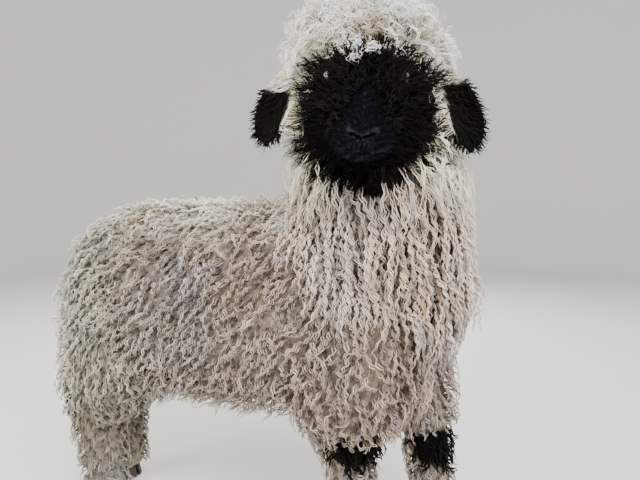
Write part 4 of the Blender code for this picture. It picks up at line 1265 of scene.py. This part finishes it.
def floor_material():
    """Pale matt studio floor with the faintest mottling."""
    made, shader = new_material("studio_floor")
    if shader:
        shader.inputs["Roughness"].default_value = 0.9
        tone = bpy.context.scene.sheep_stage.floor
        stops = ((0.0, [0.96 * value for value in tone]), (1.0, tone))
        _, ramp = noise_ramp(made.node_tree, (1.4, 1.4, 1.4), 2.0, stops)
        made.node_tree.links.new(ramp.outputs["Color"], shader.inputs["Base Color"])
    return made


# Pieces


def add_skin():
    """One skin: the evened body joined with the bare head, and the ears and lids set into it, in the wool's
    colours darkened as painted shade.
    """
    body = body_skin()
    skin = bpy.data.objects.new("skin", body.data.copy())
    bpy.context.scene.collection.objects.link(skin)
    joined(skin, [from_grids("bare_head", [cores()["head"]])])
    extra = [ear_surface(side) for side in (1, -1)]
    extra += [lid_surface(side, opening) for side in (1, -1) for opening in LID_OPENINGS.values()]
    more = from_grids("ears_and_lids", extra)
    work = bmesh.new()
    work.from_mesh(skin.data)
    work.from_mesh(more.data)
    work.to_mesh(skin.data)
    work.free()
    bpy.data.objects.remove(more)
    skin.data.shade_smooth()
    points, _ = points_of(skin.data)
    local = to_head(points)
    # Painted shade: under the wool the skin is darkened to 0.72 of the wool's colour, but not on the bare
    # muzzle.
    paint(skin, markings(points, points) * (0.72 + 0.28 * bare_share(local)[:, None]))
    skin.data.materials.clear()
    skin.data.materials.append(undercoat_material())
    skin.data.materials.append(short_hair_material())
    starts = read_all(skin.data.polygons, "loop_start", kind=np.int32)
    first = read_all(skin.data.loops, "vertex_index", kind=np.int32)[starts]
    skin.data.polygons.foreach_set("material_index", (local[first, 0] > 0.10).astype(np.int32))
    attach(skin, "root")
    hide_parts("torso", "neck", "head", "ear_left", "ear_right", "tail", *LEGS)


def add_eyes():
    """Both eyeballs, rounder over the iris, with a level slit of a pupil: the gaze is the grid's pole."""
    tint = bpy.context.scene.sheep_colours
    for side, word in SIDES:
        centre, ahead, outward, upward = eye_axes(side)
        grid = ball(np.zeros(3), np.eye(3), (1, 1, 1), 90, 96)
        swell = 1 + 0.05 * bump(np.hypot(grid[..., 0], grid[..., 1]), 0.0, 0.55) * (grid[..., 2] > 0)
        local = (grid * swell[..., None]).reshape(-1, 3)
        shape = (local @ np.array((ahead, upward, outward))).reshape(grid.shape) * EYEBALL_RADIUS
        eye = from_grids("eyeball_" + word, [centre + shape])
        u, v, w = local.T
        around = np.hypot(u, v)
        angle = np.arctan2(v, u)
        streak = 0.5 + 0.5 * np.sin(angle * 37 + 6 * np.sin(angle * 5))
        colour = np.asarray(tint.iris) * (0.55 + 0.45 * streak[:, None]) * (1.15 - 0.5 * around[:, None])
        colour = mix(colour, (0.018, 0.012, 0.010), ease(0.66, 0.74, around)[:, None])
        pupil = ease(1.12, 0.92, ((np.abs(u) / 0.44) ** 3 + (np.abs(v) / 0.155) ** 3) ** (1 / 3))[:, None]
        colour = np.where(w[:, None] > 0, mix(colour, 0.002, pupil), 0.02)
        paint(eye, colour)
        eye.data.materials.append(eye_material())
        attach(eye, "root")
        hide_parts("eye_" + word)


def claw_surface(foot, side, rings=26, sides=40):
    """Half a cloven hoof: a rounded outline, flat towards the cleft, that leans in as it rises.

    Its outline is (cos a, sin a) with the inner half pressed flat, drawn out towards the toe, and scaled
    by 1 - 0.26 t up the wall; the edges at the sole and at the top turn in on a small quarter round.
    """
    t = np.linspace(0, 1, rings)[:, None]
    round_off = np.sqrt(1 - (1 - np.minimum(t, 1 - t) / 0.08).clip(0, 1) ** 2)
    size = (1 - 0.26 * t) * (0.93 + 0.07 * round_off) * (1 + 0.012 * np.sin(t * 31))
    c, s = np.cos(circle(sides)), np.sin(circle(sides))
    wide = np.where(c > 0, c, 0.16 * c)
    long = np.sign(s) * np.abs(s) ** 0.8
    long = long * (1 + 0.10 * np.maximum(-long, 0)) * (1 - 0.12 * np.abs(wide))
    across = CLEFT / 2 + CLAW_WIDTH * (0.14 + 0.84 * wide * size)
    lengthways = 0.5 * CLAW_LENGTH * long * size * 0.95
    lean = 0.002 + 0.006 * t
    return grid_of(foot[0] + side * across, foot[1] + lean + lengthways, (HOOF_HEIGHT + 0.004) * t)


def add_hooves():
    """All eight claws in one piece."""
    grids, names = [], []
    for name, outline in LEGS.items():
        for side, word in SIDES:
            grids.append(claw_surface(outline[-1][:2], side))
            names.append(f"{name}_claw_{word}")
    claws = from_grids("hooves", grids)
    claws.data.materials.append(horn_material())
    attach(claws, "root")
    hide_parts(*names)


def wool_setup(order):
    """The wool's settings and a random source of the region's own."""
    settings = bpy.context.scene.sheep_wool
    return settings, np.random.default_rng([settings.seed, order])


def add_fleece():
    """Short curled locks over the trunk, with a looser fringe below it."""
    settings, random = wool_setup(1)

    def wanted(places):
        return 1.0 - 0.3 * (places[:, 1] < -0.30)

    all_seeds = sown(cores()["trunk"], settings.fleece_spacing, random, wanted)
    low = all_seeds[1][:, 2] < BELLY_TILT
    for name, part, wool, length, pieces in (
        ("fleece", ~low, FLEECE, settings.fleece_length, 4),
        ("belly_wool", low, FRINGE, settings.fleece_length * FRINGE_LENGTH, 1),
    ):
        seeds = chosen(all_seeds, part)
        count = len(seeds[0])
        lengths = length * random.uniform(0.7, 1.25, count)
        depth = (TRUNK_COAT - 0.006 * ease(0.30, 0.45, seeds[0][:, 1])) * random.uniform(0.42, 1.08, count)
        grown(name, seeds, trunk_flow, wool, lengths, depth, random, "fleece", pieces)


def is_pale(places):
    """True where the wool is pale."""
    return black_share(places) < 0.3


def add_ruff():
    """Long hanging ringlets round the neck and down the breast."""
    settings, random = wool_setup(2)

    def wanted(places):
        share = 0.70 + 0.30 * (places[:, 2] > 0.74) + 0.20 * (places[:, 2] < 0.52)
        return is_pale(places - UP * 0.024) * share

    all_seeds = sown_over(("neck", "cheeks"), settings.ruff_spacing, random, wanted)
    high = all_seeds[0][:, 2] + 0.014 * random.normal(size=len(all_seeds[0])) > NAPE_HEIGHT
    for name, part, wool, length, flow, pieces in (
        ("ruff", ~high, RUFF, settings.ruff_length, hanging_flow, 4),
        ("nape_wool", high, NAPE, settings.ruff_length * NAPE_LENGTH, nape_flow, 1),
    ):
        seeds = chosen(all_seeds, part)
        count = len(seeds[0])
        lengths = length * random.uniform(0.7, 1.15, count)
        depth = NECK_COAT * random.uniform(0.40, 1.08, count)
        grown(name, seeds, flow, wool, lengths, depth, random, "ruff", pieces)


def add_topknot():
    """Frizzy wool over the top of the head, down to the brow in front."""
    settings, random = wool_setup(3)

    def wanted(places):
        local = to_head(places)
        skull_top = np.abs(local[:, 1]) < 0.036
        return is_pale(places) & (skull_top | (local[:, 0] < 0.03))

    seeds = sown_over(("crown", "head"), settings.topknot_spacing, random, wanted)
    count = len(seeds[0])
    brow = ease(0.04, 0.11, to_head(seeds[0])[:, 0])
    lengths = settings.topknot_length * random.uniform(0.6, 1.2, count) * (1 - 0.4 * brow)
    depth = CROWN_COAT * random.uniform(0.40, 0.95, count) * (1 - 0.5 * brow)
    grown("topknot", seeds, crown_flow, TOPKNOT, lengths, depth, random, "ruff", 2)


def add_face_wool():
    """Black frizz that stands out all round the muzzle, clear of the eyes."""
    settings, random = wool_setup(4)

    def wanted(places):
        return black_share(places) * (1 + 2.5 * bump(from_eyes(places - 0.018 * HEAD_FORWARD), 0.0, 0.026))

    seeds = sown_over(("cheeks", "head", "neck"), settings.face_spacing, random, wanted)
    points = seeds[0]
    local = to_head(points)
    clear = from_eyes(points) > 1.05 * EYE_RADIUS
    edge = random.normal(size=len(points))
    front = 0.206 + 0.012 * ease(0.024, 0.036, np.abs(local[:, 1])) + 0.005 * edge
    woolly = (local[:, 0] < front) & (bare_share(local) + 0.2 * edge < 0.5)
    keep = woolly & (black_share(points) > 0.6) & clear
    seeds, local = chosen(seeds, keep), local[keep]
    count = len(local)
    short = ease(0.205, 0.120, local[:, 0]) * (1 - 0.35 * ease(0.0, 0.05, local[:, 2]))
    low = ease(-0.02, -0.08, local[:, 2])
    lengths = settings.face_length * (0.25 + 0.75 * short) * (1 + 0.30 * low)
    lengths = lengths * random.uniform(0.7, 1.2, count)
    depth = FACE_COAT * (0.35 + 0.65 * short) * random.uniform(0.6, 1.1, count)
    grown("face_wool", seeds, face_flow, BLACK_WOOL, lengths, depth, random, "black_wool", black=True)


def add_muzzle_hair():
    """Short close hair on the bridge, nose and lips, which lies back from the nostrils."""
    settings, random = wool_setup(8)
    seeds = sown(cores()["head"], settings.muzzle_spacing, random)
    local = to_head(seeds[0])
    mouth = np.abs(local[:, 2] - mouth_height(np.abs(local[:, 1]))) < 0.0025
    keep = (bare_share(local) > 0.4) & ~mouth & ((to_nostril(local) > 0.0035) | (local[:, 0] < 0.22))
    seeds = chosen(seeds, keep)
    count = len(seeds[0])
    lengths = settings.muzzle_length * random.uniform(0.7, 1.3, count)
    depth = np.full(count, MUZZLE_COAT)
    look = {"black": True, "finish": short_hair_material()}
    grown("muzzle_hair", seeds, muzzle_flow, MUZZLE_HAIR, lengths, depth, random, "black_wool", **look)


def add_ear_wool():
    """A thick black nap over both ears, inside and out, and pale wool that hangs over their roots."""
    settings, random = wool_setup(5)
    for side, word in SIDES:
        all_seeds = sown_bare(ear_surface(side), settings.ear_spacing, random)
        rows, _ = ear_line(side, 24)

        def ear_flow(place, normal):
            nearest = np.argmin(np.linalg.norm(place[:, None] - rows[None, :-1], axis=2), axis=1)
            along = unit(rows[nearest + 1] - rows[nearest])
            return along + 0.7 * unit(place - rows[nearest]) + 0.3 * wander(place, 0.03, 25)

        black = black_share(all_seeds[0]) > 0.5
        sparse = ~black & (random.random(len(black)) < 0.65)
        for label, part, wool, flow, length, slot in (
            ("ear_wool_", black, EAR_WOOL, ear_flow, settings.ear_length, "black_wool"),
            ("ear_root_wool_", sparse, EAR_ROOT, side_flow, settings.ear_length * EAR_ROOT_LENGTH, "ruff"),
        ):
            seeds = chosen(all_seeds, part)
            lengths = length * random.uniform(0.6, 1.2, len(seeds[0]))
            if part is sparse:
                lengths = lengths * (1 - 0.6 * ease(0.095, 0.122, np.abs(to_head(seeds[0])[:, 1])))
            depth = np.zeros(len(seeds[0]))
            grown(label + word, seeds, flow, wool, lengths, depth, random, slot, black=part is black)


def add_leg_wool():
    """Curled wool down the legs, shorter below the knees and hocks."""
    settings, random = wool_setup(6)

    def wanted(places):
        return (places[:, 2] > LOWEST_WOOL) + 0.1 * (places[:, 2] > 0.33)

    for name in LEGS:
        all_seeds = sown(cores()[name], settings.leg_spacing, random, wanted)
        points, away, _ = all_seeds
        count = len(points)
        high = ease(0.26, 0.40, points[:, 2])
        rear = ease(0.0, 0.8, away[:, 1]) * ("hind" in name)
        lengths = settings.leg_length * (1 + 0.35 * high) * random.uniform(0.7, 1.2, count)
        lengths = np.minimum(lengths, np.maximum(points[:, 2] - 0.020, 0.02) * 1.1)
        black = black_share(points) > 0.5
        over = ~black & (black_share(points - UP * 0.8 * lengths[:, None]) > 0.5)
        lengths = np.where(over, 0.45, 1.0) * lengths
        depth = (mix(LEG_COAT, TRUNK_COAT, high) + 0.010 * rear) * random.uniform(0.5, 1.08, count)
        thigh = ~black & (points[:, 2] > THIGH_HEIGHT)
        for label, part, wool in (
            ("_thigh_wool", thigh, THIGH_WOOL),
            ("_wool", ~black & ~thigh, LEG_WOOL),
            ("_black_wool", black, LEG_WOOL),
        ):
            own = chosen((lengths, depth), part)
            seeds = chosen(all_seeds, part)
            grown(name + label, seeds, hanging_flow, wool, *own, random, "leg_wool", black=part is black)


def add_tail_wool():
    """Hanging locks round the tail."""
    settings, random = wool_setup(7)
    seeds = sown(cores()["tail"], settings.fleece_spacing, random)
    count = len(seeds[0])
    lengths = settings.fleece_length * random.uniform(0.9, 1.5, count)
    depth = TAIL_COAT * random.uniform(0.5, 1.1, count)
    grown("tail_wool", seeds, hanging_flow, FLEECE, lengths, depth, random, "fleece")


# Stage

FLOOR_SIDES = 96
SENSOR_WIDTH = 36.0  # millimetres


def area_light(name, place, aim, size, power):
    """A square soft light that faces a point."""
    lamp = bpy.data.lights.new(name, "AREA")
    lamp.size = size
    lamp.energy = power
    made = bpy.data.objects.new(name, lamp)
    made.location = Vector(place)
    made.rotation_euler = (Vector(aim) - Vector(place)).to_track_quat("-Z", "Y").to_euler()
    bpy.context.scene.collection.objects.link(made)


def add_stage():
    """Floor, soft lights and camera.

    The floor is a disc that turns up on a quarter round into a low wall: radius and height follow the
    profile, which is turned once about Z.
    """
    settings = bpy.context.scene.sheep_stage
    turn = np.linspace(0, math.pi / 2, 16)
    reach = np.concatenate((np.linspace(0.01, 5.0, 12), 5.0 + 1.5 * np.sin(turn), [6.5]))[:, None]
    height = np.concatenate((np.zeros(12), 1.5 - 1.5 * np.cos(turn), [4.0]))[:, None]
    angle = circle(FLOOR_SIDES)
    grid = grid_of(reach * np.cos(angle), reach * np.sin(angle), height)
    a, b = ring_corners(len(reach), FLOOR_SIDES)
    cells = np.stack((a, a + FLOOR_SIDES, b + FLOOR_SIDES, b), axis=-1).ravel()
    corners = np.concatenate((cells, np.arange(FLOOR_SIDES)))
    floor = mesh_object("floor", grid.reshape(-1, 3), corners, [4] * a.size + [FLOOR_SIDES])
    floor.data.materials.append(floor_material())
    world = bpy.data.worlds.new("studio")
    world.use_nodes = True
    sky = world.node_tree.nodes["Background"]
    sky.inputs["Color"].default_value = (0.89, 0.90, 0.93, 1.0)
    sky.inputs["Strength"].default_value = settings.fill
    bpy.context.scene.world = world
    area_light("key", (-2.1, -1.9, 3.4), (0.0, -0.1, 0.6), 2.2, settings.key_power)
    area_light("side", (-1.9, 2.2, 1.9), (0.0, 0.1, 0.6), 2.0, settings.key_power * 0.30)
    area_light("rim", (2.6, 0.8, 2.4), (0.0, 0.0, 0.7), 1.6, settings.key_power * 0.45)
    camera = bpy.data.objects.new("camera", bpy.data.cameras.new("camera"))
    camera.data.lens = settings.lens
    camera.data.sensor_width = SENSOR_WIDTH
    camera.location = Vector(CAMERA_PLACE + SHIFT)
    gaze = unit(CAMERA_HEADING) * math.cos(CAMERA_PITCH) - UP * math.sin(CAMERA_PITCH)
    camera.rotation_euler = Vector(gaze).to_track_quat("-Z", "Y").to_euler()
    bpy.context.scene.collection.objects.link(camera)
    bpy.context.scene.camera = camera


# Settings, operators and panel


def length_setting(name, description, default):
    return FloatProperty(name=name, description=description, default=default, min=0.001, unit="LENGTH")


def colour_setting(name, description, default):
    return FloatVectorProperty(
        name=name, description=description, default=default, subtype="COLOR", min=0.0, max=1.0
    )


class SheepWool(bpy.types.PropertyGroup):
    """Lengths and spacings of the wool."""

    seed: IntProperty(name="Seed", description="Chooses the strays and curls", default=51)
    fleece_length: length_setting("Fleece length", "Length of a lock on the trunk", 0.042)
    fleece_spacing: length_setting("Fleece spacing", "Distance between locks on the trunk", 0.0153)
    ruff_length: length_setting("Ruff length", "Length of a ringlet on the neck", 0.118)
    ruff_spacing: length_setting("Ruff spacing", "Distance between ringlets on the neck", 0.0106)
    topknot_length: length_setting("Topknot length", "Length of a lock on the crown", 0.060)
    topknot_spacing: length_setting("Topknot spacing", "Distance between locks on the crown", 0.0073)
    face_length: length_setting("Face length", "Length of the black wool round the muzzle", 0.056)
    face_spacing: length_setting("Face spacing", "Distance between locks of black wool", 0.0076)
    ear_length: length_setting("Ear length", "Length of the nap on the ears", 0.016)
    ear_spacing: length_setting("Ear spacing", "Distance between strands on the ears", 0.0038)
    muzzle_length: length_setting("Muzzle length", "Length of the hair on the nose", 0.007)
    muzzle_spacing: length_setting("Muzzle spacing", "Distance between hairs on the nose", 0.0028)
    leg_length: length_setting("Leg length", "Length of a lock below the knees", 0.032)
    leg_spacing: length_setting("Leg spacing", "Distance between locks on the legs", 0.0156)


class SheepColours(bpy.types.PropertyGroup):
    """Colours of the wool, the muzzle and the eyes, in linear light."""

    fleece: colour_setting("Fleece", "Tan wool of the flanks", (0.43, 0.35, 0.29))
    russet: colour_setting("Russet", "Reddish wool behind the shoulder", (0.45, 0.335, 0.265))
    grey: colour_setting("Grey", "Greyer wool of the mid flank", (0.32, 0.29, 0.275))
    rump: colour_setting("Rump", "Pale yellowish wool of the rump", (0.51, 0.475, 0.395))
    legs: colour_setting("Legs", "Cream wool of the lower legs", (0.44, 0.39, 0.315))
    ruff: colour_setting("Ruff", "Pale beige wool of the neck", (0.64, 0.53, 0.455))
    breast: colour_setting("Breast", "Pinkish beige wool of the lower breast", (0.38, 0.285, 0.24))
    # Pale golden wool along the back, brightened there as painted light from above; also the tan streaks of
    # the crown.
    back: colour_setting("Back", "Pale golden wool along the back", (0.84, 0.75, 0.64))
    spot: colour_setting("Spot", "Brown spot at the front of the crown", (0.20, 0.095, 0.04))
    crown: colour_setting("Topknot", "Cream wool of the crown", (0.98, 0.99, 0.82))
    black: colour_setting("Black", "Wool of the face, ears, knees and hocks", (0.0048, 0.0038, 0.0036))
    muzzle: colour_setting("Muzzle", "Short hair of the muzzle", (0.0024, 0.0028, 0.0042))
    # Painted highlight along the upper rims of the nostrils, and the real pale frost of whiskers below them.
    rim: colour_setting("Rim", "Paler rims and whiskers of the nose", (0.050, 0.050, 0.054))
    iris: colour_setting("Iris", "Amber of the eyes", (0.30, 0.13, 0.03))


class SheepStage(bpy.types.PropertyGroup):
    """Floor, lights and lens."""

    floor: colour_setting("Floor", "Pale studio floor", (0.72, 0.71, 0.69))
    key_power: FloatProperty(name="Key power", description="Watts of the main light", default=280.0)
    fill: FloatProperty(name="Fill", description="Strength of the light all round", default=0.86, min=0.0)
    lens: FloatProperty(name="Lens", description="Focal length in millimetres", default=27.0, min=10.0)


class SHEEP_OT_skin(bpy.types.Operator):
    """Build the one skin under the wool, with head, ears and lids"""

    bl_idname = "sheep.skin"
    bl_label = "Skin"

    def execute(self, context):
        add_skin()
        return {"FINISHED"}


class SHEEP_OT_eyes(bpy.types.Operator):
    """Build both eyeballs"""

    bl_idname = "sheep.eyes"
    bl_label = "Eyes"

    def execute(self, context):
        add_eyes()
        return {"FINISHED"}


class SHEEP_OT_hooves(bpy.types.Operator):
    """Build the eight claws"""

    bl_idname = "sheep.hooves"
    bl_label = "Hooves"

    def execute(self, context):
        add_hooves()
        return {"FINISHED"}


class SHEEP_OT_fleece(bpy.types.Operator):
    """Grow the wool of the trunk and belly"""

    bl_idname = "sheep.fleece"
    bl_label = "Fleece"

    def execute(self, context):
        add_fleece()
        return {"FINISHED"}


class SHEEP_OT_ruff(bpy.types.Operator):
    """Grow the ringlets of the neck and breast"""

    bl_idname = "sheep.ruff"
    bl_label = "Ruff"

    def execute(self, context):
        add_ruff()
        return {"FINISHED"}


class SHEEP_OT_topknot(bpy.types.Operator):
    """Grow the frizz of the crown"""

    bl_idname = "sheep.topknot"
    bl_label = "Topknot"

    def execute(self, context):
        add_topknot()
        return {"FINISHED"}


class SHEEP_OT_face_wool(bpy.types.Operator):
    """Grow the black wool round the muzzle and on the ears"""

    bl_idname = "sheep.face_wool"
    bl_label = "Face and ear wool"

    def execute(self, context):
        add_face_wool()
        add_muzzle_hair()
        add_ear_wool()
        return {"FINISHED"}


class SHEEP_OT_leg_wool(bpy.types.Operator):
    """Grow the wool of the legs and the tail"""

    bl_idname = "sheep.leg_wool"
    bl_label = "Leg and tail wool"

    def execute(self, context):
        add_leg_wool()
        add_tail_wool()
        return {"FINISHED"}


class SHEEP_OT_stage(bpy.types.Operator):
    """Set the floor, the lights and the camera"""

    bl_idname = "sheep.stage"
    bl_label = "Stage"

    def execute(self, context):
        add_stage()
        return {"FINISHED"}


class SHEEP_PT_panel(bpy.types.Panel):
    """Settings and steps of the sheep"""

    bl_idname = "SHEEP_PT_panel"
    bl_label = "Black-nosed Sheep"
    bl_space_type = "VIEW_3D"
    bl_region_type = "UI"
    bl_category = "Sheep"

    def draw(self, context):
        for settings in (context.scene.sheep_wool, context.scene.sheep_colours, context.scene.sheep_stage):
            box = self.layout.box()
            for key in settings.__annotations__:
                box.prop(settings, key)
        for step in STEPS:
            self.layout.operator(step.bl_idname)


STEPS = (
    SHEEP_OT_skin,
    SHEEP_OT_eyes,
    SHEEP_OT_hooves,
    SHEEP_OT_fleece,
    SHEEP_OT_ruff,
    SHEEP_OT_topknot,
    SHEEP_OT_face_wool,
    SHEEP_OT_leg_wool,
    SHEEP_OT_stage,
)
CLASSES = (SheepWool, SheepColours, SheepStage, *STEPS, SHEEP_PT_panel)


def register():
    for made in CLASSES:
        bpy.utils.register_class(made)
    bpy.types.Scene.sheep_wool = PointerProperty(type=SheepWool)
    bpy.types.Scene.sheep_colours = PointerProperty(type=SheepColours)
    bpy.types.Scene.sheep_stage = PointerProperty(type=SheepStage)


def unregister():
    del bpy.types.Scene.sheep_wool, bpy.types.Scene.sheep_colours, bpy.types.Scene.sheep_stage
    for made in reversed(CLASSES):
        bpy.utils.unregister_class(made)


def main():
    register()
    bpy.ops.sheep.skin()
    bpy.ops.sheep.eyes()
    bpy.ops.sheep.hooves()
    bpy.ops.sheep.fleece()
    bpy.ops.sheep.ruff()
    bpy.ops.sheep.topknot()
    bpy.ops.sheep.face_wool()
    bpy.ops.sheep.leg_wool()
    bpy.ops.sheep.stage()
    bpy.data.objects.remove(body_skin())


if __name__ == "__main__":
    main()
